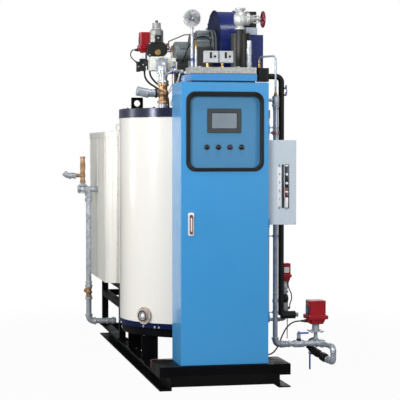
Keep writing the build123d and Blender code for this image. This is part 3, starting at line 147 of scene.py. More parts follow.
def build_effects():
    """Build the shared effects once."""
    wires, given, result = colour_effect(
        "Patchy colour", "Patch colour", ("Amount", NUMBER, 0.5), ("Scale", NUMBER, 6.0),
        ("Stretch", VECTOR, EVEN))
    noise = wires.noise(given["Scale"], 5.0, given["Stretch"])
    share = wires.maths("MULTIPLY", wires.ramp(noise, 0.36, 0.66), given["Amount"])
    wires.put(wires.blend(share, given["Colour"], given["Patch colour"]), result[0])

    wires, given, result = effect(
        "Worn edges",
        (("Colour", COLOUR, GREY), ("Edge colour", COLOUR, GREY), ("Width", NUMBER, 0.002),
         ("Wear", NUMBER, 0.3)),
        (("Colour", COLOUR), ("Normal", VECTOR)))
    rounded = wires.node("ShaderNodeBevel", {"Radius": given["Width"]}, samples=6).outputs[0]
    flat = wires.node("ShaderNodeNewGeometry").outputs["Normal"]
    turn = wires.node("ShaderNodeVectorMath", {0: rounded, 1: flat}, operation="DOT_PRODUCT")
    edge = wires.ramp(turn.outputs["Value"], 0.99, 0.86)
    worn = wires.maths("MULTIPLY", wires.ramp(wires.noise(38.0, 6.0), 0.42, 0.6), given["Wear"])
    share = wires.maths("MULTIPLY", edge, worn)
    wires.put(wires.blend(share, given["Colour"], given["Edge colour"]), result[0])
    wires.put(rounded, result[1])

    wires, given, result = effect(
        "Uneven gloss",
        (("Roughness", NUMBER, 0.4), ("Spread", NUMBER, 0.1), ("Stretch", VECTOR, EVEN)),
        (("Roughness", NUMBER),))
    noise = wires.noise(9.0, 6.0, given["Stretch"])
    drift = wires.maths("MULTIPLY", wires.ramp(noise, 0.3, 0.7, -1.0, 1.0), given["Spread"])
    wires.put(wires.maths("ADD", given["Roughness"], drift), result[0])

    wires, given, result = effect(
        "Fine grain",
        (("Scale", NUMBER, 400.0), ("Stretch", VECTOR, EVEN), ("Waves", NUMBER, 0.0)),
        (("Height", NUMBER),))
    swell = wires.maths("MULTIPLY", wires.noise(5.0, 1.0), given["Waves"])
    grain = wires.noise(given["Scale"], 3.0, given["Stretch"])
    wires.put(wires.maths("ADD", grain, swell), result[0])

    wires, given, result = colour_effect("Settled dust", "Dust colour", ("Amount", NUMBER, 0.1))
    normal = wires.node("ShaderNodeNewGeometry").outputs["Normal"]
    facing = wires.node("ShaderNodeSeparateXYZ", {0: normal}).outputs[2]
    lying = wires.maths("MULTIPLY", wires.ramp(facing, 0.55, 0.98),
                        wires.ramp(wires.noise(14.0, 7.0), 0.4, 0.75, 0.25, 1.0))
    share = wires.maths("MULTIPLY", lying, given["Amount"])
    wires.put(wires.blend(share, given["Colour"], given["Dust colour"]), result[0])

    wires, given, result = colour_effect("Zinc spangle", "Light colour", ("Amount", NUMBER, 0.5))
    cells = wires.node("ShaderNodeTexVoronoi", {"Vector": wires.place(), "Scale": 160.0})
    flake = wires.node("ShaderNodeSeparateColor", {0: cells.outputs["Color"]}).outputs[0]
    share = wires.maths("MULTIPLY", flake, given["Amount"])
    wires.put(wires.blend(share, given["Colour"], given["Light colour"]), result[0])

    wires, given, result = colour_effect("Lower band", "Band colour", ("Level", NUMBER, 0.0))
    height = wires.node("ShaderNodeSeparateXYZ", {0: wires.place()}).outputs[2]
    below = wires.maths("LESS_THAN", height, given["Level"])
    wires.put(wires.blend(below, given["Colour"], given["Band colour"]), result[0])


def use(wires, name, **sockets):
    """Place one shared effect in a material; Patch_colour stands for the socket Patch colour."""
    values = {key.replace("_", " "): value for key, value in sockets.items()}
    return wires.node("ShaderNodeGroup", values, node_tree=bpy.data.node_groups[name]).outputs


COAT_ROUGHNESS = 0.14
DUST = tint(168, 160, 148)


def finish(name, colour, rough, metal=0.0, patch=None, patchy=0.4, patches=6.0, stretch=EVEN,
           edge=None, width=0.0015, wear=0.35, spread=0.06, grain=500.0, depth=0.0, waves=0.0,
           dust=0.0, spangle=0.0, coat=0.0, band=None, grain_stretch=None, shine=0.5):
    """Make one finish from the shared effects; colours are a setting or 0 to 255."""
    colour = tuple(colour) if len(colour) == 4 else tint(*colour)

    def scaled(factor, lift=0.0):
        return (*(min(1, v * factor + lift) for v in colour[:3]), 1)

    patch = tint(*patch) if patch else scaled(0.8)
    edge = tint(*edge) if edge else scaled(1.5, 0.05)
    stuff = bpy.data.materials.new(name)
    stuff.use_nodes = True
    wires = Wiring(stuff.node_tree)
    shader = stuff.node_tree.nodes["Principled BSDF"].inputs
    shader["Metallic"].default_value = metal
    shader["Specular IOR Level"].default_value = shine
    if coat:
        shader["Coat Weight"].default_value = coat
        shader["Coat Roughness"].default_value = COAT_ROUGHNESS
    out = use(wires, "Patchy colour", Colour=colour, Patch_colour=patch, Amount=patchy,
              Scale=patches, Stretch=stretch)[0]
    if spangle:
        out = use(wires, "Zinc spangle", Colour=out, Light_colour=scaled(1.5, 0.06),
                  Amount=spangle)[0]
    if band:
        out = use(wires, "Lower band", Colour=out, Level=band[0], Band_colour=tint(*band[1]))[0]
    worn = use(wires, "Worn edges", Colour=out, Edge_colour=edge, Width=width, Wear=wear)
    out, normal = worn["Colour"], worn["Normal"]
    if dust:
        out = use(wires, "Settled dust", Colour=out, Dust_colour=DUST, Amount=dust)[0]
    wires.put(out, shader["Base Color"])
    gloss = use(wires, "Uneven gloss", Roughness=rough, Spread=spread,
                Stretch=grain_stretch or stretch)
    wires.put(gloss[0], shader["Roughness"])
    if depth:
        height = use(wires, "Fine grain", Scale=grain, Waves=waves,
                     Stretch=grain_stretch or EVEN)[0]
        sockets = {"Height": height, "Normal": normal, "Distance": depth, "Strength": 1.0}
        normal = wires.node("ShaderNodeBump", sockets).outputs[0]
    wires.put(normal, shader["Normal"])
    finishes[name] = stuff


# New pieces in mesh code, all in millimetres


def at(x, y, z):
    """A point that can be added to directions."""
    return Vector((x, y, z))


def box(node):
    """The two corners of a solid piece."""
    low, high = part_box(node)
    return low / MM, high / MM


def ray(angle, first, second):
    """The direction at an angle from one axis towards another."""
    return first * cos(angle) + second * sin(angle)


def circle(middle, along, radius, count, turn=0.0):
    """Points evenly round a line."""
    along = Vector(along).normalized()
    side = along.orthogonal().normalized()
    other = along.cross(side)
    return [Vector(middle) + ray(turn + 2 * pi * n / count, side, other) * radius
            for n in range(count)]


def rounded_outline(width, height, radius, steps=8):
    """The points of a rectangle with round corners, counter-clockwise."""
    points = []
    for n, (x, y) in enumerate(((1, 1), (-1, 1), (-1, -1), (1, -1))):
        for k in range(steps + 1):
            angle = pi / 2 * (n + k / steps)
            points.append((x * (width / 2 - radius) + radius * cos(angle),
                           y * (height / 2 - radius) + radius * sin(angle)))
    return points


def rectangle(width, height):
    """The corners of a rectangle, counter-clockwise."""
    x, y = width / 2, height / 2
    return [(-x, -y), (x, -y), (x, y), (-x, y)]


def round_outline(radius, steps=64):
    """The points of a circle, counter-clockwise."""
    return [(radius * cos(2 * pi * n / steps), radius * sin(2 * pi * n / steps))
            for n in range(steps)]


def tube(name, points, radius, order=3, steps=8, facets=3):
    """A curve with round walls along its control points, in the unit of the points."""
    shape = bpy.data.curves.new(name, "CURVE")
    shape.dimensions = "3D"
    shape.bevel_depth = radius
    shape.bevel_resolution = facets
    shape.resolution_u = steps
    shape.use_fill_caps = True
    line = shape.splines.new("NURBS" if order > 2 else "POLY")
    line.points.add(len(points) - 1)
    for point, knot in zip(points, line.points):
        knot.co = (*point, 1)
    if order > 2:
        line.order_u = order
        line.use_endpoint_u = True
    return shape


def add_object(name, data, body, replaced=None):
    """Put a mesh or curve in the scene, riding on a body."""
    piece = bpy.data.objects.new(name, data)
    bpy.context.scene.collection.objects.link(piece)
    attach(piece, body)
    if replaced:
        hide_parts(replaced)
    return piece


class Piece:
    """A mesh under construction; kind is a finish's place in its list of names."""

    def __init__(self, name, *names):
        self.name = name
        self.mesh = bmesh.new()
        self.names = names

    def ring_of(self, points):
        return [self.mesh.verts.new(point) for point in points]

    def skin(self, rings, kind):
        """Join rings of points, each to the next, with faces of one finish."""
        steps = max(len(ring) for ring in rings)
        for low, high in zip(rings, rings[1:]):
            for n in range(steps):
                m = (n + 1) % steps
                if len(low) == 1 and len(high) == 1:
                    continue
                if len(low) == 1:
                    corners = (low[0], high[m], high[n])
                elif len(high) == 1:
                    corners = (low[n], low[m], high[0])
                else:
                    corners = (low[n], low[m], high[m], high[n])
                self.mesh.faces.new(corners).material_index = kind

    def turned(self, seat, along, profile, sides=24, kind=0):
        """Turn pairs of radius and reach round a line from its seat."""
        along = Vector(along).normalized()
        rings = []
        for radius, reach in profile:
            middle = Vector(seat) + along * reach
            rings.append(self.ring_of(circle(middle, along, radius, sides) if radius > 0
                                      else [middle]))
        self.skin(rings, kind)

    def disc(self, seat, along, radius, height, sides=24, kind=0):
        """A solid disc or short bar with a softened far edge."""
        soft = min(radius, height) * 0.12
        self.turned(seat, along, ((0, 0), (radius, 0), (radius, height - soft),
                                  (radius - soft, height), (0, height)), sides, kind)

    def ball(self, middle, radius, kind=0):
        """A turned ball."""
        profile = [(radius * sin(pi * n / 10), -radius * cos(pi * n / 10)) for n in range(11)]
        profile[0], profile[-1] = (0, -radius), (0, radius)
        self.turned(middle, UP, profile, 20, kind)

    def ring(self, middle, along, radius, wire, kind=0, sides=28, steps=10):
        """A round wire bent to a closed ring."""
        along = Vector(along).normalized()
        turns = [2 * pi * k / steps for k in range(steps)]
        rings = [self.ring_of([Vector(middle) + spoke * (radius + wire * cos(turn))
                               + along * wire * sin(turn) for turn in turns])
                 for spoke in circle((0, 0, 0), along, 1, sides)]
        self.skin(rings + [rings[0]], kind)

    def bolt(self, seat, along, size=6.0, kind=0, washer=True):
        """A hexagon head on its washer; size is the head's radius."""
        if washer:
            self.disc(seat, along, size * 1.35, size * 0.25, 14, kind)
        self.turned(Vector(seat) + Vector(along).normalized() * size * 0.2, along,
                    ((0, 0), (size, 0), (size, size * 0.62), (size * 0.86, size * 0.8),
                     (0, size * 0.8)), 6, kind)

    def block(self, low, high, soft=1.0, kind=0):
        """A block between two corners, with softened edges."""
        made = bmesh.ops.create_cube(self.mesh, size=1.0)
        for vert in made["verts"]:
            for n in range(3):
                vert.co[n] = low[n] if vert.co[n] < 0 else high[n]
        faces = {face for vert in made["verts"] for face in vert.link_faces}
        for face in faces:
            face.material_index = kind
        if soft:
            edges = {edge for face in faces for edge in face.edges}
            bmesh.ops.bevel(self.mesh, geom=list(edges), offset=soft, segments=2,
                            affect="EDGES", profile=0.5, material=kind)

    def slab(self, outline, seat, across, up, thick, kind=0, hole=None):
        """A flat plate from an outline, with an optional matching hole."""
        across, up = Vector(across), Vector(up)
        out = across.cross(up).normalized()

        def lay(points, lift, factor=1.0):
            return self.ring_of([Vector(seat) + across * x * factor + up * y * factor
                                 + out * lift for x, y in points])

        if hole:
            brim = thick - min(1.0, thick * 0.3)
            rings = [lay(outline, 0), lay(outline, brim), lay(outline, thick, 0.998),
                     lay(hole, thick, 1.003), lay(hole, brim), lay(hole, 0)]
            self.skin(rings + [rings[0]], kind)
        else:
            low, high = lay(outline, 0), lay(outline, thick)
            self.skin([low, high], kind)
            self.mesh.faces.new(low[::-1]).material_index = kind
            self.mesh.faces.new(high).material_index = kind

    def plate(self, size, seat, across, up, thick, kind=0, hole=None):
        """A slab with round corners; size and hole are width, height, radius and steps."""
        self.slab(rounded_outline(*size), seat, across, up, thick, kind,
                  rounded_outline(*hole) if hole else None)

    def collar(self, middle, along, radius, length, kind=0, sides=24):
        """A short sleeve centred on a point, softened at both ends."""
        along = Vector(along).normalized()
        soft = min(1.5, length * 0.2)
        self.turned(Vector(middle) - along * length / 2, along,
                    ((0, 0), (radius - soft, 0), (radius, soft), (radius, length - soft),
                     (radius - soft, length), (0, length)), sides, kind)

    def union(self, middle, along, radius, length, kind=0):
        """A hexagon nut between two round shoulders."""
        self.collar(middle, along, radius * 0.9, length, kind)
        self.collar(middle, along, radius, length * 0.5, kind, 6)

    def collars(self, along, *rows):
        """Sleeves in one direction, from rows of x, y, z, radius, length and kind."""
        for x, y, z, *sizes in rows:
            self.collar((x, y, z), along, *sizes)

    def unions(self, along, *rows):
        """Nuts in one direction, from rows of x, y, z, radius, length and kind."""
        for x, y, z, *sizes in rows:
            self.union((x, y, z), along, *sizes)

    def elbow(self, corner, first, second, radius, kind=0, reach=1.9, bead=1.16):
        """A cast elbow with a bead at each mouth."""
        corner, ways = Vector(corner), (Vector(first), Vector(second))
        ends = [corner + way.normalized() * radius * reach for way in ways]
        self.bent((ends[0], corner, ends[1]), radius, kind)
        for end, way in zip(ends, ways):
            self.collar(end, way, radius * bead, radius * 0.5, kind)

    def bent(self, points, radius, kind=0, order=3):
        """A rigid tube bent along points."""
        self.take(tube(self.name + "_bend", points, radius, order), kind)

    def figure(self, text, seat, across, up, height, kind=0, thick=0.3):
        """A plain number laid on a face."""
        shape = bpy.data.curves.new(self.name + "_figure", "FONT")
        shape.body = text
        shape.size = height * 1.35
        shape.extrude = thick
        shape.align_x, shape.align_y = "CENTER", "CENTER"
        shape.resolution_u = 2
        turn = Matrix((across, up, across.cross(up))).transposed().to_4x4()
        self.take(shape, kind, Matrix.Translation(seat) @ turn)

    def take(self, shape, kind, place=None):
        """Add the mesh of a curve or a text, moved by a matrix if one is given."""
        holder = bpy.data.objects.new(shape.name, shape)
        bpy.context.scene.collection.objects.link(holder)
        bpy.context.view_layer.update()
        ready = bpy.data.meshes.new_from_object(
            holder.evaluated_get(bpy.context.evaluated_depsgraph_get()))
        if place:
            ready.transform(place)
        for face in ready.polygons:
            face.material_index = kind
        self.mesh.from_mesh(ready)
        bpy.data.objects.remove(holder)
        bpy.data.meshes.remove(ready)

    def done(self, body, replaced=None):
        """Turn the mesh into a piece that rides on a body."""
        bmesh.ops.recalc_face_normals(self.mesh, faces=self.mesh.faces)
        for face in self.mesh.faces:
            face.smooth = True
        for edge in self.mesh.edges:
            if len(edge.link_faces) == 2 and edge.calc_face_angle(0) > radians(34):
                edge.smooth = False
        data = bpy.data.meshes.new(self.name)
        self.mesh.to_mesh(data)
        self.mesh.free()
        data.transform(Matrix.Scale(MM, 4))
        for name in self.names:
            data.materials.append(finishes[name])
        add_object(self.name, data, body, replaced)


# Sizes and colours that a user would change


class BoilerSizes(bpy.types.PropertyGroup):
    """Sizes of the small fittings."""
    band_bolts: IntProperty(name="Band bolts", description="Bolts round the bottom band",
                            default=28, min=4)
    bolt_size: FloatProperty(name="Bolt size", description="Radius of a hexagon head",
                             default=0.008, unit="LENGTH")
    lid_screws: IntProperty(name="Lid screws", description="Screws along each side of the "
                            "economizer's lid", default=12, min=2)
    cable_sheath: FloatProperty(name="Cable", description="Diameter of the main cable",
                                default=0.010, unit="LENGTH")
    hose_sheath: FloatProperty(name="Hose", description="Diameter of the conduit hoses",
                               default=0.014, unit="LENGTH")


def colour_property(label, description, shade):
    """A colour setting with its default."""
    return FloatVectorProperty(name=label, description=description, subtype="COLOR", size=4,
                               min=0.0, max=1.0, default=shade)


class BoilerColours(bpy.types.PropertyGroup):
    """Main colours of the finishes."""
    cabinet: colour_property("Cabinet", "Blue of the cabinet", tint(44, 137, 197))
    jacket: colour_property("Jacket", "Cream of the boiler's jacket", tint(225, 222, 215))
    navy: colour_property("Band", "Navy of the flange band", tint(10, 22, 58))
    blower: colour_property("Blower", "Blue of the blower", tint(22, 42, 112))
    actuator: colour_property("Actuators", "Red of the motor actuators", tint(158, 12, 28))
    skid: colour_property("Skid", "Black of the steelwork", tint(8, 8, 10))
    casing: colour_property("Economizer", "Grey of the economizer's casing", tint(240, 238, 230))


# The hood is near black below this height, in metres.
HOOD_DARK_BAND_TOP = 2.0688


class MakeFinishes(bpy.types.Operator):
    """Make every finish and give it to the solid pieces"""
    bl_idname = "boiler.finishes"
    bl_label = "Finishes"

    def execute(self, context):
        shades = context.scene.boiler_colours
        build_effects()
        finish("black paint", shades.skid, 0.4, edge=(80, 78, 76), wear=0.2, width=0.002,
               patch=(14, 14, 15), patchy=0.5, depth=0.0004, grain=180.0, waves=0.6, spread=0.1,
               shine=0.05)
        # A darker copy of the black paint: painted shade on the cross members, which sit back
        # under the deck.
        finish("black with painted shade", (6, 6, 7), 0.5, patch=(14, 14, 14), patchy=0.5, edge=(60, 60, 60),
               wear=0.3, depth=0.0004, grain=180.0, shine=0.1)
        finish("cream jacket", shades.jacket, 0.2, patch=(226, 222, 214), patchy=0.35, patches=2.2,
               stretch=(1, 1, 0.35), wear=0.1, coat=0.6, depth=0.0006, grain=2.0, waves=1.0,
               spread=0.03, width=0.002)
        finish("navy band", shades.navy, 0.3, edge=(120, 130, 160), wear=0.15, patch=(12, 26, 58),
               patches=9.0, depth=0.0003, grain=120.0, shine=0.1)
        # Navy cover paint; its lighter patches, stretched into upright streaks, are painted
        # reflections.
        finish("navy cover with painted reflections", (16, 24, 54), 0.22, 0.3, patch=(70, 74, 88), patchy=0.7,
               patches=2.4, stretch=(1, 1, 0.1), wear=0.5, width=0.003, edge=(220, 220, 222),
               depth=0.0005, grain=7.0, waves=1.0)
        finish("dull stainless", shades.casing, 0.4, 0.25, patch=(204, 203, 195), patchy=0.7,
               patches=3.0, stretch=(1, 1, 0.12), edge=(232, 232, 226), wear=0.6, depth=0.0006,
               grain=60.0, waves=1.6, grain_stretch=(4, 4, 0.3), spread=0.1)
        finish("cabinet blue", shades.cabinet, 0.34, patch=(60, 150, 206), patchy=0.65,
               patches=190.0, wear=0.25, edge=(140, 196, 236), coat=0.6, depth=0.0003, grain=900.0,
               width=0.003, spread=0.05)
        # A darker copy of the cabinet blue: the same paint with painted shade on the hood.
        finish("hood blue with painted shade", (36, 122, 188), 0.34, patch=(60, 150, 206), patchy=0.6, patches=190.0,
               wear=0.3, edge=(140, 196, 236), coat=0.6, depth=0.0003, grain=900.0, width=0.0025,
               band=(HOOD_DARK_BAND_TOP, (10, 10, 12)))
        finish("black rubber", (8, 8, 10), 0.4, shine=0.3, patch=(20, 20, 22), patches=40.0,
               depth=0.0003, grain=700.0, width=0.002, wear=0.2, edge=(70, 72, 76))
        finish("panel teal", (56, 122, 166), 0.42, patch=(72, 138, 178), patchy=0.7, patches=230.0,
               depth=0.0004, grain=850.0, wear=0.15, width=0.002)
        finish("charcoal plastic", (52, 55, 57), 0.44, patch=(42, 45, 48), patchy=0.5,
               patches=60.0, depth=0.0002, grain=1200.0, width=0.001, wear=0.2)
        finish("black plastic", (22, 23, 26), 0.28, patchy=0.3, depth=0.0001, width=0.0008,
               wear=0.2, edge=(80, 82, 88))
        finish("red plastic", (80, 20, 40), 0.28, width=0.0008, wear=0.15)
        finish("bright chrome", (246, 244, 246), 0.18, 0.08, patch=(206, 200, 204), patches=30.0,
               width=0.0012, wear=0.2, spread=0.04)
        # Chrome darkened to brown-purple: painted shade in the handle's recess, round the lever.
        finish("chrome with painted recess shade", (132, 108, 114), 0.24, 0.2, patch=(92, 58, 58), patchy=0.8,
               patches=26.0, width=0.0012, wear=0.2, spread=0.04)
        finish("brushed stainless", (184, 186, 184), 0.4, 0.55, patch=(140, 142, 140), patchy=0.75,
               patches=60.0, edge=(214, 214, 210), wear=0.6, depth=0.0004, grain=240.0,
               grain_stretch=(0.1, 1, 1), width=0.0012)
        finish("pale enamel", (186, 190, 194), 0.38, patch=(166, 170, 174), patchy=0.6,
               patches=30.0, edge=(150, 152, 152), wear=0.4, depth=0.0003)
        finish("galvanised", (184, 190, 197), 0.3, 0.45, patch=(122, 130, 138), patchy=0.55,
               patches=20.0, spangle=0.08, wear=0.4, edge=(226, 228, 231), depth=0.0005,
               grain=150.0, spread=0.12)
        finish("cast silver", (206, 208, 206), 0.36, 0.35, patch=(150, 152, 150), patchy=0.6,
               patches=24.0, wear=0.6, edge=(226, 228, 226), depth=0.0007, grain=260.0,
               width=0.002)
        finish("solenoid grey", (150, 152, 148), 0.4, 0.4, patch=(104, 106, 102), patchy=0.6,
               patches=24.0, wear=0.6, edge=(206, 208, 204), depth=0.0007, grain=260.0,
               width=0.002)
        finish("cast bronze", (184, 150, 112), 0.34, 0.55, patch=(104, 72, 46), patchy=0.75,
               patches=22.0, wear=0.7, edge=(214, 176, 128), depth=0.0007, grain=240.0,
               width=0.002)
        finish("brass", (196, 158, 92), 0.26, 0.8, patch=(140, 104, 54), patchy=0.5, patches=30.0,
               wear=0.5, edge=(232, 204, 150), depth=0.0002, grain=300.0, width=0.001)
        finish("dull copper", (108, 74, 56), 0.42, 0.35, patch=(78, 48, 38), patchy=0.7,
               patches=24.0, width=0.0008, wear=0.3, depth=0.0001)
        finish("blower blue", shades.blower, 0.3, patch=(16, 30, 84), patchy=0.5, patches=3.0,
               edge=(130, 150, 214), depth=0.0004, grain=8.0, waves=1.0, width=0.002, shine=0.18,
               coat=0.35)
        # A darker copy of the blower blue: painted shade for the scroll's unlit sides.
        finish("blower painted shade", (9, 18, 50), 0.45, patch=(16, 28, 70), patchy=0.6,
               edge=(90, 110, 180), wear=0.3, width=0.002, depth=0.0004, grain=60.0, shine=0.06)
        finish("motor grey", (122, 130, 132), 0.46, 0.1, patch=(78, 85, 87), patchy=0.7,
               patches=20.0, wear=0.5, edge=(176, 182, 182), depth=0.0007, grain=220.0, dust=0.2)
        finish("dark stand", (28, 29, 26), 0.5, patch=(48, 50, 44), patchy=0.6, patches=9.0,
               wear=0.4, edge=(96, 98, 92), depth=0.0005, grain=200.0, dust=0.2)
        finish("black lagging", (14, 15, 16), 0.5, patch=(30, 31, 30), patchy=0.55, patches=8.0,
               shine=0.3, depth=0.0012, grain=120.0, waves=3.0, wear=0.2, width=0.003,
               edge=(66, 66, 66))
        finish("separator black", (16, 18, 18), 0.4, patch=(40, 42, 32), patchy=0.6, patches=4.0,
               shine=0.3, stretch=(1, 1, 0.3), depth=0.0006, grain=90.0, waves=2.0, wear=0.3,
               edge=(90, 92, 84), dust=0.1)
        finish("dark red paint", (126, 14, 34), 0.28, patch=(88, 8, 22), patchy=0.5, patches=24.0,
               coat=0.3, edge=(196, 96, 104), wear=0.4, depth=0.0005, grain=110.0)
        finish("actuator red", shades.actuator, 0.3, patch=(132, 8, 22), patchy=0.5, patches=12.0,
               coat=0.2, shine=0.3, edge=(236, 110, 116), depth=0.0004, grain=160.0, width=0.0025)
        finish("blue sleeve", (34, 78, 176), 0.3, patch=(22, 58, 142), patches=30.0,
               edge=(120, 158, 224), wear=0.3, width=0.001)
        finish("pale grey panel", (188, 199, 208), 0.4, patch=(176, 188, 198), patchy=0.5,
               patches=90.0, edge=(222, 228, 232), wear=0.3, depth=0.0002, grain=800.0)
        finish("pipe grey", (176, 186, 197), 0.26, 0.35, patch=(118, 132, 146), patchy=0.5,
               patches=24.0, wear=0.4, edge=(226, 230, 232), depth=0.0003, grain=240.0)
        finish("sight port grey", (192, 180, 170), 0.44, 0.2, patch=(156, 142, 132), patchy=0.6,
               patches=26.0, wear=0.6, edge=(226, 220, 214), depth=0.0007, grain=210.0)
        finish("gas cream", (228, 230, 224), 0.4, patch=(196, 198, 190), patchy=0.5, patches=14.0,
               wear=0.4, edge=(160, 160, 152), depth=0.0006, grain=200.0, width=0.003)
        finish("black casting", (15, 15, 16), 0.44, patch=(34, 34, 34), patchy=0.5, patches=18.0,
               shine=0.3, depth=0.0006, grain=260.0, edge=(92, 92, 92))
        finish("cable sheath", (12, 12, 14), 0.48, shine=0.3, patch=(34, 34, 36), patches=60.0,
               depth=0.0001, grain=600.0, width=0.0006, wear=0.1)
        finish("bright bolt", (196, 198, 198), 0.3, 0.7, patch=(146, 148, 148), patchy=0.5,
               patches=40.0, wear=0.5, width=0.0008, spangle=0.3)
        finish("black bolt", (30, 30, 31), 0.4, 0.3, patch=(52, 52, 52), patchy=0.5, patches=60.0,
               wear=0.5, width=0.0008, edge=(112, 112, 112))
        # The dial face is dark grey with large white patches: painted reflections of the glass
        # over a white dial.
        finish("dial with painted reflection", (92, 95, 100), 0.26, patch=(200, 203, 206), patchy=0.9, patches=18.0,
               wear=0.0, width=0.0003)
        finish("screen grey", (118, 130, 140), 0.16, patch=(132, 144, 153), patchy=0.6,
               patches=7.0, wear=0.0, width=0.0003, coat=0.4)
        finish("print black", (16, 16, 18), 0.5, wear=0.0, width=0.0002)
        finish("flag white", (226, 228, 230), 0.3, width=0.0004, wear=0.1)
        finish("flag navy", (14, 18, 44), 0.3, width=0.0004, wear=0.1)
        finish("flag brown", (146, 72, 40), 0.34, width=0.0004, wear=0.1)
        finish("green tab", (48, 150, 84), 0.35, width=0.0004, wear=0.1)
        # Used as rust stain, and along the deck's back-left edge as a painted highlight.
        finish("rust stain and painted highlight", (118, 66, 46), 0.6, patch=(84, 46, 34), patchy=0.7, patches=30.0,
               width=0.0008, wear=0.2)
        wanted = {
            # The cross members take the darker black as painted shade.
            "black with painted shade": "skid_cross_members",
            "black paint": "skid_channel_left skid_channel_right front_deck "
                           "boiler_base boiler_lifting_lugs economizer_frame",
            "cream jacket": "boiler_jacket",
            "navy band": "boiler_bottom_band",
            # The top cover's lighter streaks are painted reflections.
            "navy cover with painted reflections": "boiler_top_cover",
            "dull stainless": "economizer_casing economizer_lid flue_duct",
            "cabinet blue": "cabinet_body cabinet_door cabinet_hinges",
            # The hood takes a darker copy of the cabinet blue as painted shade.
            "hood blue with painted shade": "cabinet_hood",
            "black rubber": "window_trim",
            "panel teal": "control_panel",
            "charcoal plastic": "touch_screen",
            "black plastic": "push_buttons cable_glands",
            "bright chrome": "handle_base",
            # The lever in its recess takes the darkened chrome, as painted shade.
            "chrome with painted recess shade": "handle_lever",
            "brushed stainless": "instrument_tray pressure_gauge",
            "pale enamel": "pressure_switches",
            "galvanised": "feed_pipework instrument_stand_pipes blowdown_pipework riser_pipes "
                          "upper_valve",
            "pipe grey": "water_column",
            "cast bronze": "feed_line_valves boiler_relief_valve",
            "dull copper": "copper_line",
            "blower blue": "blower_housing blower_inlet_box",
            "motor grey": "blower_motor feed_motor",
            "dark stand": "motor_stands",
            "black lagging": "lagged_steam_line drain_pipe",
            "separator black": "steam_separator",
            "cast silver": "steam_valve",
            "solenoid grey": "gas_solenoid",
            "dark red paint": "steam_valve_wheel",
            "blue sleeve": "blowdown_lever drain_lever",
            "actuator red": "valve_actuators",
            "pale grey panel": "level_gauge_panel",
            "sight port grey": "sight_port",
            "gas cream": "gas_block",
            "black casting": "gas_regulator",
        }
        for name, members in wanted.items():
            for member in members.split():
                nodes[member].data.materials.clear()
                nodes[member].data.materials.append(finishes[name])
        return {"FINISHED"}


FLOOR_WIDTH = 120.0
FLOOR_GREY = (0.26, 0.26, 0.26, 1)
WHITE = (1, 1, 1, 1)
SKY = (0.93, 0.96, 1.0, 1)
SKY_STRENGTH = 0.36
LIGHTS_AIM = Vector((0.0, -0.6, 1.2))
LIGHTS = (
    ("key", (-2.2, -4.8, 2.3), (1.5, 1.5), 108.0),
    ("fill", (3.4, -6.6, 2.6), (2.2, 2.6), 98.0),
    ("top", (0.3, -2.6, 5.4), (3.0, 0.7), 64.0),
    ("left strip", (-4.8, -1.9, 2.6), (0.36, 2.0), 124.0),
    ("back strip", (-4.4, 1.6, 2.3), (0.5, 2.4), 36.0),
    ("back", (2.5, 6.0, 3.6), (3.0, 3.0), 90.0),
)
CAMERA_PLACE = (-2.065, -10.840, 1.610)
CAMERA_TURN = (radians(90 - 2.03), 0.0, -0.2)
SENSOR_WIDTH, FOCAL_LENGTH = 36.0, 128.6


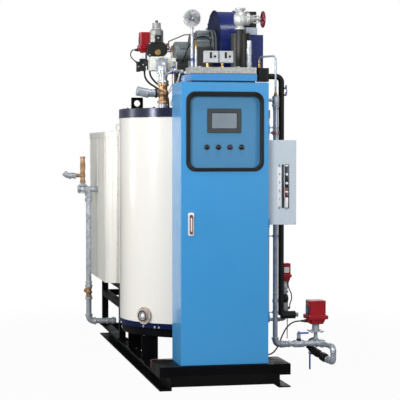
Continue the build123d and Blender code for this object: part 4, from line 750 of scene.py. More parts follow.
class MakeStage(bpy.types.Operator):
    """Set up the floor, the soft lights and the camera"""
    bl_idname = "boiler.stage"
    bl_label = "Stage"

    def execute(self, context):
        scene = context.scene
        scene.view_settings.view_transform = "Standard"
        self.add_floor(scene)
        self.add_sky(scene)
        self.add_lights(scene)
        self.add_camera(scene)
        return {"FINISHED"}

    def add_floor(self, scene):
        """A wide floor that turns to plain white away from the boiler."""
        data = bpy.data.meshes.new("floor")
        corners = [(x, y, 0) for x, y in rectangle(FLOOR_WIDTH, FLOOR_WIDTH)]
        data.from_pydata(corners, [], [(0, 1, 2, 3)])
        floor = bpy.data.objects.new("floor", data)
        scene.collection.objects.link(floor)
        stuff = bpy.data.materials.new("pale floor")
        stuff.use_nodes = True
        wires = Wiring(stuff.node_tree)
        shader = stuff.node_tree.nodes["Principled BSDF"]
        wires.put(FLOOR_GREY, shader.inputs["Base Color"])
        wires.put(0.9, shader.inputs["Roughness"])
        far = wires.node("ShaderNodeVectorMath", {0: wires.place()},
                         operation="LENGTH").outputs["Value"]
        share = wires.maths("MULTIPLY", wires.eye_rays(), wires.ramp(far, 2.2, 4.2, 0.965, 1.0))
        glow = wires.node("ShaderNodeEmission", {"Color": WHITE, "Strength": 1.0})
        wires.put(wires.mix_shaders(share, shader.outputs[0], glow.outputs[0]),
                  stuff.node_tree.nodes["Material Output"].inputs["Surface"])
        data.materials.append(stuff)

    def add_sky(self, scene):
        """Soft light from all round, plain white to the eye."""
        world = bpy.data.worlds.new("studio")
        scene.world = world
        world.use_nodes = True
        wires = Wiring(world.node_tree)
        lit = world.node_tree.nodes["Background"]
        wires.put(SKY, lit.inputs["Color"])
        wires.put(SKY_STRENGTH, lit.inputs["Strength"])
        white = wires.node("ShaderNodeBackground", {"Color": WHITE, "Strength": 1.0})
        wires.put(wires.mix_shaders(wires.eye_rays(), lit.outputs[0], white.outputs[0]),
                  world.node_tree.nodes["World Output"].inputs["Surface"])

    def add_lights(self, scene):
        """Area lights turned towards the boiler."""
        for name, spot, size, power in LIGHTS:
            lamp = bpy.data.lights.new(name, "AREA")
            lamp.shape = "RECTANGLE"
            lamp.size, lamp.size_y = size
            lamp.energy = power
            holder = bpy.data.objects.new(name, lamp)
            holder.location = spot
            holder.visible_camera = False
            way = LIGHTS_AIM - Vector(spot)
            holder.rotation_euler = way.to_track_quat("-Z", "Y").to_euler()
            scene.collection.objects.link(holder)

    def add_camera(self, scene):
        """The view that the product is shown from."""
        lens = bpy.data.cameras.new("camera")
        lens.sensor_width = SENSOR_WIDTH
        lens.lens = FOCAL_LENGTH
        camera = bpy.data.objects.new("camera", lens)
        camera.location = CAMERA_PLACE
        camera.rotation_euler = CAMERA_TURN
        scene.collection.objects.link(camera)
        scene.camera = camera


CABLES = (
    ("main_actuator_cable", 0.010, 0.404,
     ((0.60778, -1.2231, 0.41108), (0.569, -1.2231, 0.41108), (0.530, -1.218, 0.394),
      (0.497, -1.211, 0.357), (0.473, -1.207, 0.308), (0.453, -1.206, 0.258),
      (0.430, -1.207, 0.212), (0.399, -1.209, 0.184), (0.361, -1.210, 0.176),
      (0.32667, -1.210, 0.176))),
    ("upper_actuator_cable", 0.008, 0.181,
     ((0.55775, -1.048, 0.661), (0.55775, -1.048, 0.638), (0.570, -1.048, 0.611),
      (0.585, -1.041, 0.581), (0.588, -1.036, 0.552), (0.584, -1.031, 0.529),
      (0.576, -1.025, 0.510), (0.576, -1.025, 0.490))),
    ("gas_actuator_cable", 0.008, 0.113,
     ((-0.46284, -0.555, 2.33112), (-0.47884, -0.555, 2.33112), (-0.490, -0.558, 2.316),
      (-0.496, -0.563, 2.298), (-0.493, -0.570, 2.279), (-0.483, -0.579, 2.264),
      (-0.470, -0.588, 2.252))),
    ("left_conduit_hose", 0.014, 0.314,
     ((-0.398, -0.5925, 2.176), (-0.398, -0.5925, 2.142), (-0.383, -0.5925, 2.110),
      (-0.357, -0.593, 2.084), (-0.321, -0.593, 2.064), (-0.287, -0.594, 2.038),
      (-0.264, -0.595, 2.003), (-0.256, -0.596, 1.965), (-0.256, -0.596, 1.920))),
    ("right_conduit_hose", 0.014, 0.315,
     ((-0.359, -0.5925, 2.185), (-0.359, -0.5925, 2.152), (-0.341, -0.592, 2.122),
      (-0.316, -0.590, 2.095), (-0.286, -0.587, 2.070), (-0.257, -0.584, 2.043),
      (-0.234, -0.582, 2.008), (-0.219, -0.581, 1.970), (-0.219, -0.581, 1.920))),
    ("blower_motor_cable", 0.008, 0.380,
     ((0.030, -0.875, 2.351), (0.030, -0.875, 2.373), (0.019, -0.876, 2.396),
      (-0.007, -0.877, 2.411), (-0.040, -0.877, 2.411), (-0.072, -0.875, 2.398),
      (-0.100, -0.867, 2.374), (-0.121, -0.850, 2.342), (-0.132, -0.826, 2.308),
      (-0.140, -0.802, 2.276), (-0.152, -0.782, 2.2375), (-0.152, -0.750, 2.2375))),
)


class MakeCables(bpy.types.Operator):
    """Lay the cables and hoses along their routes"""
    bl_idname = "boiler.cables"
    bl_label = "Cables"

    def execute(self, context):
        sizes = context.scene.boiler_sizes
        for name, diameter, length, points in CABLES:
            if name == "main_actuator_cable":
                diameter = sizes.cable_sheath
            elif name.endswith("_hose"):
                diameter = sizes.hose_sheath
            shape = tube(name + "_line", points, diameter / 2, steps=12, facets=4)
            shape.materials.append(finishes["cable sheath"])
            piece = add_object(name + "_line", shape, "root", name)
        return {"FINISHED"}


BOILER = at(0, -450, 0)
ECONOMIZER_Y = 913
BLOWER_Y, BLOWER_Z = -760, 2350
SCREEN_BEZEL = 54
BUTTON_STEP = 79


class MakeDoorFittings(bpy.types.Operator):
    """Add the window lining, screen glass, button caps and lock of the cabinet door"""
    bl_idname = "boiler.door_fittings"
    bl_label = "Door fittings"

    def execute(self, context):
        lining = Piece("window_lining", "black rubber", "panel teal")
        for seat, size, hole, thick, kind in (
                ((0, -1472, 1725), (499, 499, 57.5), (489, 489, 52.5), 26, 1),
                ((0, -1500.2, 1729), (532, 534, 64), (490, 488, 53), 6.2, 0),
                ((0, -1506.4, 1729), (526, 528, 61), (496, 494, 56), 1.8, 0)):
            lining.plate(size, seat, RIGHT, UP, thick, kind, hole)
        lining.done("door")

        low, high = box("touch_screen")
        seat = at((low.x + high.x) / 2, low.y + 2.4, (low.z + high.z) / 2)
        width, height = high.x - low.x - SCREEN_BEZEL, high.z - low.z - SCREEN_BEZEL
        glass = Piece("screen_glass", "screen grey", "black plastic")
        glass.plate((width - 8, height - 8, 2, 3), seat, RIGHT, UP, 0.8)
        glass.plate((width - 0.4, height - 0.4, 1, 3), seat, RIGHT, UP, 0.4, 1,
                    (width - 7, height - 7, 2, 3))
        glass.done("door")

        caps = Piece("button_caps", "black plastic", "red plastic", "charcoal plastic")
        for n in range(4):
            x = (n - 1.5) * BUTTON_STEP
            caps.turned((x, -1484, 1625), FRONT, ((0, 0), (13.4, 0), (13.4, 1.2), (11.5, 2.4),
                                                  (6, 3.1), (0, 3.3)), 32, int(n == 2))
            caps.ring((x, -1476.2, 1625), FRONT, 16.6, 1.3, 2)
        caps.done("door")

        lock = Piece("handle_lock", "bright chrome", "rust stain and painted highlight")
        lock.disc((-234, -1509, 1045), FRONT, 8.5, 5.0, 28)
        lock.block((-235, -1514.4, 1040), (-233, -1513.6, 1050), 0.2, 1)
        lock.plate((41, 155, 10.5), (-234, -1500, 1111), RIGHT, UP, 2.2, 1)
        lock.done("door")

        inset = Piece("handle_inset", "bright chrome", "chrome with painted recess shade")
        inset.plate((9, 92, 3, 4), (-234, -1521.4, 1108), RIGHT, UP, 1.0)
        # The ring round the lever is darkened chrome: painted shade in the handle's recess.
        inset.plate((19.6, 112, 4, 4), (-234, -1522.0, 1108), RIGHT, UP, 1.6, 1, (10, 94, 3.2, 4))
        inset.done("handle")

        screws = Piece("cabinet_screws", "black bolt")
        for z, dz in product((476.7, 1110.0, 1743.3), (-22, -8)):
            screws.disc((302, -1462, z + dz), RIGHT, 3.2, 1.6, 12)
        for x, z in product((-200, 0, 200), (300, 1110, 1900)):
            screws.disc((x, -1170, z), BACK, 6, 2.4, 6)
        screws.done("root")
        return {"FINISHED"}


FLAG_PATTERN = ((0.2, 2.0, 2), (2.0, 23.2, 6), (23.6, 26.4, 3), (26.8, 28.8, 2), (29.0, 33.2, 4),
                (33.6, 44.2, 2))
FLAG_STEPS = 44.5
GAUGE_FACE = -1440
GAUGE_LOW, GAUGE_HIGH = 1211, 1507


class MakeLevelGauge(bpy.types.Operator):
    """Add the level gauge's tube, flags, ticks and screws"""
    bl_idname = "boiler.level_gauge"
    bl_label = "Level gauge"

    def execute(self, context):
        gauge = Piece("level_gauge_scale", "print black", "black plastic", "flag white",
                      "flag brown", "dark red paint", "bright bolt", "flag navy")
        face, low, high = GAUGE_FACE, GAUGE_LOW, GAUGE_HIGH
        gauge.block((408, face - 0.8, low), (424, face + 6.5, high), 0.5, 1)
        for z in (high - 5, low + 5):
            gauge.disc((416, face - 0.5, z), FRONT, 5, 2.5, 16, 1)
        gauge.block((428.5, face - 5, low - 2), (457.5, face, high + 2), 1.2, 1)
        step = (high - low) / FLAG_STEPS
        for top, bottom, kind in FLAG_PATTERN:
            gauge.block((430, face - 6.6, high - bottom * step + 0.6),
                        (451, face - 4.5, high - top * step - 0.6), 0.8, kind)
        for drop in (10.0, 19.0):
            gauge.disc((441, face - 6.4, high - drop * step), FRONT, 9, 1.6, 24, 2)
        gauge.block((376, face - 0.7, low + 6), (402, face, high - 18), 0.3, 2)
        for n in range(6):
            z = high - 9 - (high - low - 12) * n / 5
            gauge.figure(str(5 - n), (391, face - 0.7, z), RIGHT, UP, 19, 0, 0.8)
        for n in range(41):
            z = low + 8 + (high - low - 16) * n / 40
            reach = 6 if n % 4 == 0 else 3
            gauge.block((407 - reach, face - 1.0, z - 0.6), (407, face - 0.6, z + 0.6), 0)
        for z in (low - 8, high + 8):
            gauge.disc((438, face, z), FRONT, 4.5, 3, 16, 5)
        for x, z in product((314, 495), (1112, 1659)):
            gauge.disc((x, face, z), FRONT, 4, 1.8, 16, 5)
            gauge.block((x - 3, face - 2.1, z - 0.5), (x + 3, face - 1.6, z + 0.5), 0)
        gauge.done("root")
        return {"FINISHED"}


DIAL_START, DIAL_SWEEP = 225, 270
POINTER_ANGLE = 128
POINTER_OUTLINE = ((-2.4, -14), (2.4, -14), (1.6, 0), (0.5, 40), (-0.5, 40), (-1.6, 0))


class MakePressureGauge(bpy.types.Operator):
    """Add the dial, pointer, glass rim and tabs of the pressure gauge"""
    bl_idname = "boiler.pressure_gauge"
    bl_label = "Pressure gauge"

    def execute(self, context):
        dial = Piece("gauge_dial", "dial with painted reflection", "print black", "red plastic", "green tab",
                     "bright chrome", "brass")
        x, y, z = -208, -1421, 2487
        # The dial face carries painted reflections of its glass.
        dial.disc((x, y, z), FRONT, 54, 0.8, 48)
        middle = at(x, y - 0.8, z)
        for n in range(51):
            angle = radians(DIAL_START - DIAL_SWEEP * n / 50)
            outer, inner, wide = (47, 40, 1.1) if n % 5 == 0 else (47, 43.5, 0.5)
            spoke = ray(angle, RIGHT, UP)
            dial.slab(rectangle(wide, outer - inner), middle + spoke * (outer + inner) / 2,
                      ray(angle, DOWN, RIGHT), spoke, 0.3, 1)
        for n in range(6):
            spoke = ray(radians(DIAL_START - DIAL_SWEEP * n / 5), RIGHT, UP)
            dial.figure(str(n * 4), middle + spoke * 31.5, RIGHT, UP, 8.0, 1)
        angle = radians(POINTER_ANGLE)
        dial.slab(POINTER_OUTLINE, middle + FRONT * 1.4, ray(angle, DOWN, RIGHT),
                  ray(angle, RIGHT, UP), 0.8, 1)
        dial.disc(middle, FRONT, 4.5, 3.2, 24, 4)
        dial.plate((9, 5, 1.5, 3), middle + at(-20, 0, 38), RIGHT, UP, 1.2, 3)
        dial.plate((8, 5, 1.5, 3), middle + at(3, 0, 47), RIGHT, UP, 1.2, 2)
        dial.ring((x, -1425.2, z), FRONT, 56.4, 1.8, 4, 64)
        dial.ring((x, -1422.0, z), FRONT, 54.2, 0.9, 1, 64, 8)
        dial.disc((x, -1410, 2428), UP, 13, 12, 6, 5)
        dial.done("root")
        return {"FINISHED"}


BAND_BOLTS_SEEN = (186, 218, 228.5, 232)
COVER_TOP = 1904
SIGHT_PORT_ANGLE = 219
SKID_TOP = 105


class MakeFasteners(bpy.types.Operator):
    """Add the bolts and screws of the steelwork, shell, lid and valves"""
    bl_idname = "boiler.fasteners"
    bl_label = "Fasteners"

    def execute(self, context):
        sizes = context.scene.boiler_sizes
        head = sizes.bolt_size / MM

        bolts = Piece("band_bolts", "bright bolt")
        hidden = [250 + 290 * n / sizes.band_bolts for n in range(sizes.band_bolts)]
        for turn in (*BAND_BOLTS_SEEN, *hidden):
            out = ray(radians(turn), RIGHT, BACK)
            bolts.bolt(BOILER + out * 560 + UP * 347, out, head * 0.8)
        bolts.done("root")

        studs = Piece("cover_bolts", "black bolt")
        for n in range(20):
            seat = BOILER + UP * COVER_TOP + ray(2 * pi * (n + 0.5) / 20, RIGHT, BACK) * 519
            if abs(seat.x + 298) > 60 or abs(seat.y + 800) > 60:
                studs.bolt(seat, UP, head)
        for side, dx in product((-1, 1), (-28, 28)):
            studs.bolt((side * 430 + dx, -437, COVER_TOP), UP)
        studs.done("root")

        port = Piece("sight_port_fittings", "bright bolt", "black casting", "screen grey",
                     "bright chrome")
        out = ray(radians(SIGHT_PORT_ANGLE), RIGHT, BACK)
        face = BOILER + UP * 425 + out * 569
        for seat in circle(face, out, 52.5, 6, radians(14)):
            if seat.z > 379:
                port.bolt(seat, out, 5.0)
        port.ring(face + out * 14.2, out, 35.0, 4.2, 1, 40)
        port.disc(face + out * 4, out, 27, 5, 32, 2)
        port.turned(face + out * 9, out, ((0, 0), (16, 0), (15, 3), (9, 6), (0, 7)), 24, 3)
        port.done("root")

        feet = Piece("frame_bolts", "black bolt")
        for x, y, dx in product((-418, 418), (406, 1420), (-33, 33)):
            feet.bolt((x + dx * 0.9, y, SKID_TOP), UP)
        for side, end, dy in product((-1, 1), (-1, 1), (-84, 84)):
            feet.bolt((side * 397, BOILER.y + end * 325 + dy, SKID_TOP), UP, 8)
        feet.done("root")

        sleeve = Piece("lever_sleeves", "blue sleeve")
        low, high = box("blowdown_lever")
        y = (low.y + high.y) / 2
        sleeve.block((high.x - 72, y - 13, low.z - 2.5), (high.x - 1, y + 13, low.z + 9), 3)
        sleeve.done("blowdown_handle")

        lid = Piece("lid_screws", "bright bolt")
        for n, side in product(range(sizes.lid_screws), (-1, 1)):
            share = (n + 0.5) / sizes.lid_screws
            lid.disc((side * 556, 470 + 880 * share, 1730), RIGHT * side, 5, 3, 10)
            lid.disc((-460 + 920 * share, ECONOMIZER_Y + side * 553, 1730), BACK * side, 5, 3, 10)
        lid.done("root")

        wheel = Piece("handwheel_nut", "bright bolt", "dark red paint")
        hub = at(box("steam_valve_wheel")[1].x, STEAM_VALVE.y, STEAM_VALVE.z)
        wheel.turned(hub + LEFT * 0.5, RIGHT, ((9.2, 0), (12.5, 0), (11, 0.4), (9.2, 0.4)), 20)
        for n in range(4):
            spoke = ray(pi / 2 * n, BACK, UP)
            wheel.turned(hub + LEFT * 12 + spoke * 12, spoke,
                         ((5.5, 0), (4.0, 10), (4.6, 38), (5.2, 40)), 12, 1)
        wheel.done("handwheel")
        return {"FINISHED"}


STEAM_VALVE = at(195, -1100, 2518)
VALVE_BODY = (
    (0, 0), (36, 0), (37, 1.5), (37, 11), (35.5, 13), (29, 14), (25.5, 17), (25, 22), (30, 28),
    (39, 38), (44, 50), (46, 66), (46, 84), (44, 98), (38, 112), (30, 121), (25, 127),
    (25.5, 133), (29, 136), (35.5, 137), (37, 139), (37, 148), (36, 150), (0, 150))
VALVE_BONNET = (
    (0, 0), (34, 0), (34, 10), (38, 14), (46, 16), (47, 17.5), (47, 25), (46, 26.5), (47, 28),
    (47, 36), (46, 37.5), (39, 38), (35, 42), (29, 54), (24, 62), (19, 66), (17, 72), (0, 72))


class MakeSteamValve(bpy.types.Operator):
    """Model the cast steam valve in place of its plain solid"""
    bl_idname = "boiler.steam_valve"
    bl_label = "Steam valve"

    def execute(self, context):
        valve = Piece("steam_valve_casting", "cast silver", "bright bolt", "brushed stainless")
        valve.turned(STEAM_VALVE + DOWN * 75, UP, VALVE_BODY, 48)
        valve.turned(STEAM_VALVE + RIGHT * 24, RIGHT, VALVE_BONNET, 44)
        for way in (UP, DOWN):
            for spot in circle(STEAM_VALVE - way * 62, UP, 31, 4, radians(45)):
                valve.bolt(spot, way, 4.2, 1, False)
        for spot in circle(STEAM_VALVE + RIGHT * 40, RIGHT, 41.5, 6, radians(30)):
            valve.bolt(spot, LEFT, 4.0, 1, False)
            valve.bolt(spot + RIGHT * 20, RIGHT, 4.0, 1, False)
        valve.union(STEAM_VALVE + RIGHT * 102, RIGHT, 17, 16, 2)
        valve.turned(STEAM_VALVE + RIGHT * 96, RIGHT, ((0, 0), (8.9, 0), (8.9, 79), (0, 79)),
                     24, 2)
        for side in (-1, 1):
            valve.bent([STEAM_VALVE + at(x, 0, side * z) for x, z in (
                (84, 19), (98, 25), (120, 25), (138, 17), (143, 12))], 5)
        valve.turned(STEAM_VALVE + RIGHT * 133, RIGHT,
                     ((0, 0), (15, 0), (17, 2), (17, 7), (13, 12), (0, 12)))
        for n in range(5):
            valve.ring(STEAM_VALVE + RIGHT * (147 - n * 1.8), RIGHT, 9.0, 0.6, 2, 20, 6)
        valve.done("root", "steam_valve")
        return {"FINISHED"}


LOOP_RUN = at(68, -340, 0).normalized()


def loop_spot(share, z):
    """A point of the blowdown loop, by its share from back to front."""
    return at(704 + 68 * share, -1110 - 340 * share, z)


class MakeBlowdownFittings(bpy.types.Operator):
    """Add elbows, couplings and valve ends to the blowdown line"""
    bl_idname = "boiler.blowdown"
    bl_label = "Blowdown fittings"

    def execute(self, context):
        iron = Piece("blowdown_fittings", "galvanised", "brushed stainless", "black casting")
        corner = loop_spot(1, 144)
        iron.elbow(loop_spot(1, 257), -LOOP_RUN, DOWN, 20.9, bead=1.0)
        iron.elbow(corner, UP, loop_spot(0.72, 160) - corner, 20.9, bead=1.0)
        iron.collar(loop_spot(1, 200), UP, 20.5, 14)
        foot, end = at(412, -1250, 256), loop_spot(0.42, 257)
        run = (end - foot).normalized()
        iron.elbow(foot, UP, run, 22)
        for reach, radius, length in ((52, 25, 16), (78, 22.5, 20), (134, 22, 18),
                                      (208, 22, 16), (262, 22, 22)):
            iron.collar(foot + run * reach, run, radius, length)
        for reach, radius, length in ((100, 25, 16), (140, 28, 13), (198, 28, 13)):
            iron.union(foot + run * reach, run, radius, length)
        ball_valve = foot + run * 169
        iron.turned(ball_valve + UP * 20, UP,
                    ((0, 0), (17, 0), (17, 12), (11, 20), (11, 36), (9, 40), (0, 40)), 24, 2)
        iron.union(ball_valve + UP * 86, UP, 7, 5)
        iron.collar(end, LOOP_RUN, 27, 66)
        iron.collar(end - run * 24, run, 29, 10)
        valve = loop_spot(0.24, 257)
        for side in (-1, 1):
            iron.collar(end + LOOP_RUN * 36 * side, LOOP_RUN, 29, 10)
            iron.union(valve + LOOP_RUN * 33 * side, LOOP_RUN, 29, 14)
        iron.ball(valve, 29)
        seat = at(valve.x, valve.y, 0)
        iron.turned(seat + UP * 275, UP, ((0, 0), (17, 0), (15, 10), (13, 30), (13, 52), (22, 56),
                                          (0, 56)))
        for x, y in product((-34, 34), (-34, 34)):
            iron.bolt(seat + at(x, y, 331), DOWN, 6, 1, False)
        iron.turned(seat + UP * 339, UP, ((0, 0), (33, 0), (33, 4), (25, 9), (25, 40), (31, 46),
                                          (31, 48), (0, 48)), 28)
        iron.done("root")

        dark = Piece("drain_fittings", "black casting", "galvanised")
        slope = (corner - loop_spot(0, 200)).normalized()
        dark.elbow(loop_spot(0, 200), slope, UP, 25)
        dark.elbow(loop_spot(0, 257), DOWN, LOOP_RUN, 25)
        check = loop_spot(0.6, 166.4)
        for side in (-1, 1):
            dark.union(loop_spot(0.27, 184.9) + slope * 34 * side, slope, 30, 14)
            dark.union(check + slope * 27 * side, slope, 29, 12)
        dark.collar(check, slope, 31, 44, 0, 28)
        dark.collar(loop_spot(0.78, 156.3), slope, 25, 12, 1)
        dark.done("root")

        nuts = Piece("lever_nuts", "brushed stainless")
        nuts.bolt((581, -1251.4, 335.3), UP, 7.5)
        out = Vector((-0.98058, -0.19612, 0))
        low, high = box("drain_lever")
        spot = at((low.x + high.x) / 2, (low.y + high.y) / 2, high.z - 13)
        nuts.bolt(spot + out * 2.1, out, 7.5)
        nuts.done("root")
        return {"FINISHED"}


class MakeFeedFittings(bpy.types.Operator):
    """Add the crosses, unions and elbows of the feed line"""
    bl_idname = "boiler.feed_fittings"
    bl_label = "Feed line fittings"

    def execute(self, context):
        iron = Piece("feed_fittings", "galvanised", "cast bronze")
        low, high = box("feed_line_valves")
        y, check = 900, low.z + 39
        iron.elbow((-624, y, 190), RIGHT, UP, 27)
        iron.elbow((-624, y, 1283), LEFT, DOWN, 27)
        iron.ball((-672, y, 1283), 33)
        for way, reach in ((LEFT, 34), (RIGHT, 34), (UP, 34), (DOWN, 30)):
            iron.collar(at(-672, y, 1283) + way * reach, way, 31, 13)
        iron.collars(RIGHT, (-470, y, 190, 27, 18), (-590, y, 1283, 27, 14))
        iron.unions(RIGHT, (-420, y, 190, 31, 26), (-563, y, 1283, 30, 18))
        iron.unions(UP, (-624, y, 1196, 32, 34), (-624, y, check + 52, 31, 26),
                    (-624, y, check + 82, 29, 16), (-624, y, check - 50, 31, 20))
        iron.bolt((-624, y - 26, check + 4), FRONT, 11, 1)
        iron.collars(UP, (-624, y, check, 29, 14, 1), (-672, y, 1338, 25, 16, 1),
                     *((-672, y, z, 21.2, 5, 1) for z in (1420, 1455, 1490)))
        iron.turned((-672, y, high.z - 26), UP,
                    ((0, 0), (14, 0), (14, 12), (10, 18), (10, 24), (0, 25)), 20, 1)
        iron.unions(LEFT, (-738, y, 1391, 26, 16))
        iron.collars(LEFT, (-775, y, 1391, 26.5, 12))
        iron.done("root")
        return {"FINISHED"}


class MakeColumnFittings(bpy.types.Operator):
    """Add the couplings, brass cone and small valves of the right-hand pipes"""
    bl_idname = "boiler.column_fittings"
    bl_label = "Column fittings"

    def execute(self, context):
        pipe = Piece("column_fittings", "galvanised", "brass", "dark red paint",
                     "black casting", "bright bolt")
        x, y = 412, -1250
        pipe.turned((x, y, 1971), UP, ((0, 0), (17, 0), (17, 6), (9, 26), (9, 34), (0, 34)),
                    24, 1)
        pipe.collars(UP, (x, y, 1948, 24, 12), (x, y, 1890, 20, 12), (x, y, 560, 20, 24),
                     (x, y, 1240, 20, 24))
        pipe.unions(UP, (x, y, 1912, 26, 22), (x, y, 1724, 24, 34), (331, -1100, 2200, 12, 14, 1),
                    (331, -1100, 2222, 12, 14, 1))
        pipe.collars(RIGHT, (x - 36, y, 1950, 12, 20),
                     *((308, y, z, 12, 10, 3) for z in (480, 1010, 1760)))
        pipe.unions(RIGHT, (x - 60, y, 1950, 13, 12, 1))
        pipe.collars(FRONT, (x, y - 22, 1724, 8, 18, 1))
        pipe.plate((64, 15, 6, 5), (x - 12, y - 32, 1724), RIGHT, UP, 5, 2)
        pipe.bolt((x, y - 37, 1724), FRONT, 5, 4)
        pipe.turned((331, -1100, 2177), UP, ((0, 0), (15, 0), (15, 10), (11, 16), (0, 16)), 6, 1)
        pipe.done("root")

        small = Piece("steam_line_test_valve", "brass", "blue sleeve", "black lagging")
        x, y = 492, -1100
        for z in (2040, 1992):
            small.collars(RIGHT, (x + 22, y, z, 7, 16))
            small.unions(RIGHT, (x + 30, y, z, 9, 9))
            small.plate((11, 26, 4, 4), (x + 30, y - 13, z + 8), RIGHT, UP, 5, 1)
        small.bent(((x + 34, y, 1992), (x + 40, y, 2004), (x + 40, y, 2028), (x + 34, y, 2040)), 4)
        small.collars(UP, *((x, y, z, 20.8, 12, 2) for z in (640, 980, 1320, 1660, 2030)))
        small.collars(RIGHT, (592, y, 442, 28, 6, 2))
        small.done("root")

        side = Piece("side_valve_fittings", "galvanised", "cast silver", "black casting",
                     "dull copper", "brass")
        x, y = 544, -1025
        side.turned((x, y, 677), DOWN, ((0, 0), (20, 0), (20, 12), (17, 16), (19.5, 42),
                                        (19.5, 50), (0, 50)), 24, 1)
        side.turned((x, y, 582), DOWN, ((0, 0), (14, 0), (21, 16), (23, 34), (21, 52), (14, 64),
                                        (0, 64)), 24, 2)
        side.unions(UP, (x, y, 600, 22, 18), (x, y, 472, 23, 20), (x, y, 440, 19, 14),
                    (562, -1013, 392, 5.5, 9, 4))
        side.collars(RIGHT, (492, y, 402, 16, 18))
        side.unions(RIGHT, (462, y, 402, 18, 14))
        side.bent(((560, -1012, 470), (562, -1012, 440), (562, -1013, 330), (560, -1016, 262)),
                  3, 3)
        side.turned((616, -1100, 442), RIGHT, ((0, 0), (9, 0), (8, 3), (0, 3)), 8)
        side.done("root")
        return {"FINISHED"}


MAIN_ACTUATOR = (720.3, -1191.6)
UPPER_ACTUATOR = (544, -1025)
GAS_ACTUATOR = (-388, -555)


class MakeActuatorTrim(bpy.types.Operator):
    """Add windows, screws and ribs to the red motor actuators"""
    bl_idname = "boiler.actuator_trim"
    bl_label = "Actuator trim"

    def execute(self, context):
        trim = Piece("actuator_trim", "black plastic", "flag white", "bright bolt",
                     "actuator red", "panel teal")
        for (x, y), base, width, depth, height in (
                (MAIN_ACTUATOR, 387, 117, 126, 164), (UPPER_ACTUATOR, 677, 55, 92, 125),
                (GAS_ACTUATOR, 2311, 82, 80, 146)):
            rim_top, rim = base + height * 0.37, width * 0.12
            for side, end in product((-1, 1), (-1, 1)):
                trim.bolt((x + side * (width / 2 + rim * 0.2), y + end * (depth / 2 + rim * 0.2),
                           rim_top), UP, max(2.6, rim * 0.3), 2, False)
            for side in (-1, 1):
                rib = x + side * (width / 2 + rim * 0.1)
                trim.block((rib - 3, y - depth * 0.36, rim_top - 1),
                           (rib + 3, y + depth * 0.36, rim_top + 5), 1.5, 3)
            trim.plate((width * 0.8, depth * 0.8, rim * 0.8, 5), (x, y, base + height - 0.5),
                       RIGHT, BACK, 2.4, 3)
        x, y = MAIN_ACTUATOR
        trim.plate((74, 62, 9), (x - 58.5, y + 6, 480), FRONT, UP, 3)
        trim.plate((50, 40, 6), (x - 61.5, y + 6, 484), FRONT, UP, 0.8, 4)
        trim.plate((46, 52, 5), (541, -1071, 757), RIGHT, UP, 2, 3)
        trim.plate((36, 40, 3), (541, -1073, 757), RIGHT, UP, 0.8, 1)
        trim.plate((56, 60, 8), (-429, -553, 2398), FRONT, UP, 2)
        trim.done("root")

        skirt = Piece("upper_actuator_foot", "black plastic")
        skirt.turned((*UPPER_ACTUATOR, 677), UP, ((0, 0), (15, 0), (19, 14), (19, 18), (0, 18)))
        skirt.done("root")
        return {"FINISHED"}


BRASS_CAP = ((0, 0), (14, 0), (12, 14), (6, 30), (5, 42), (0, 44))
GAS_RISER = (-298, -800)


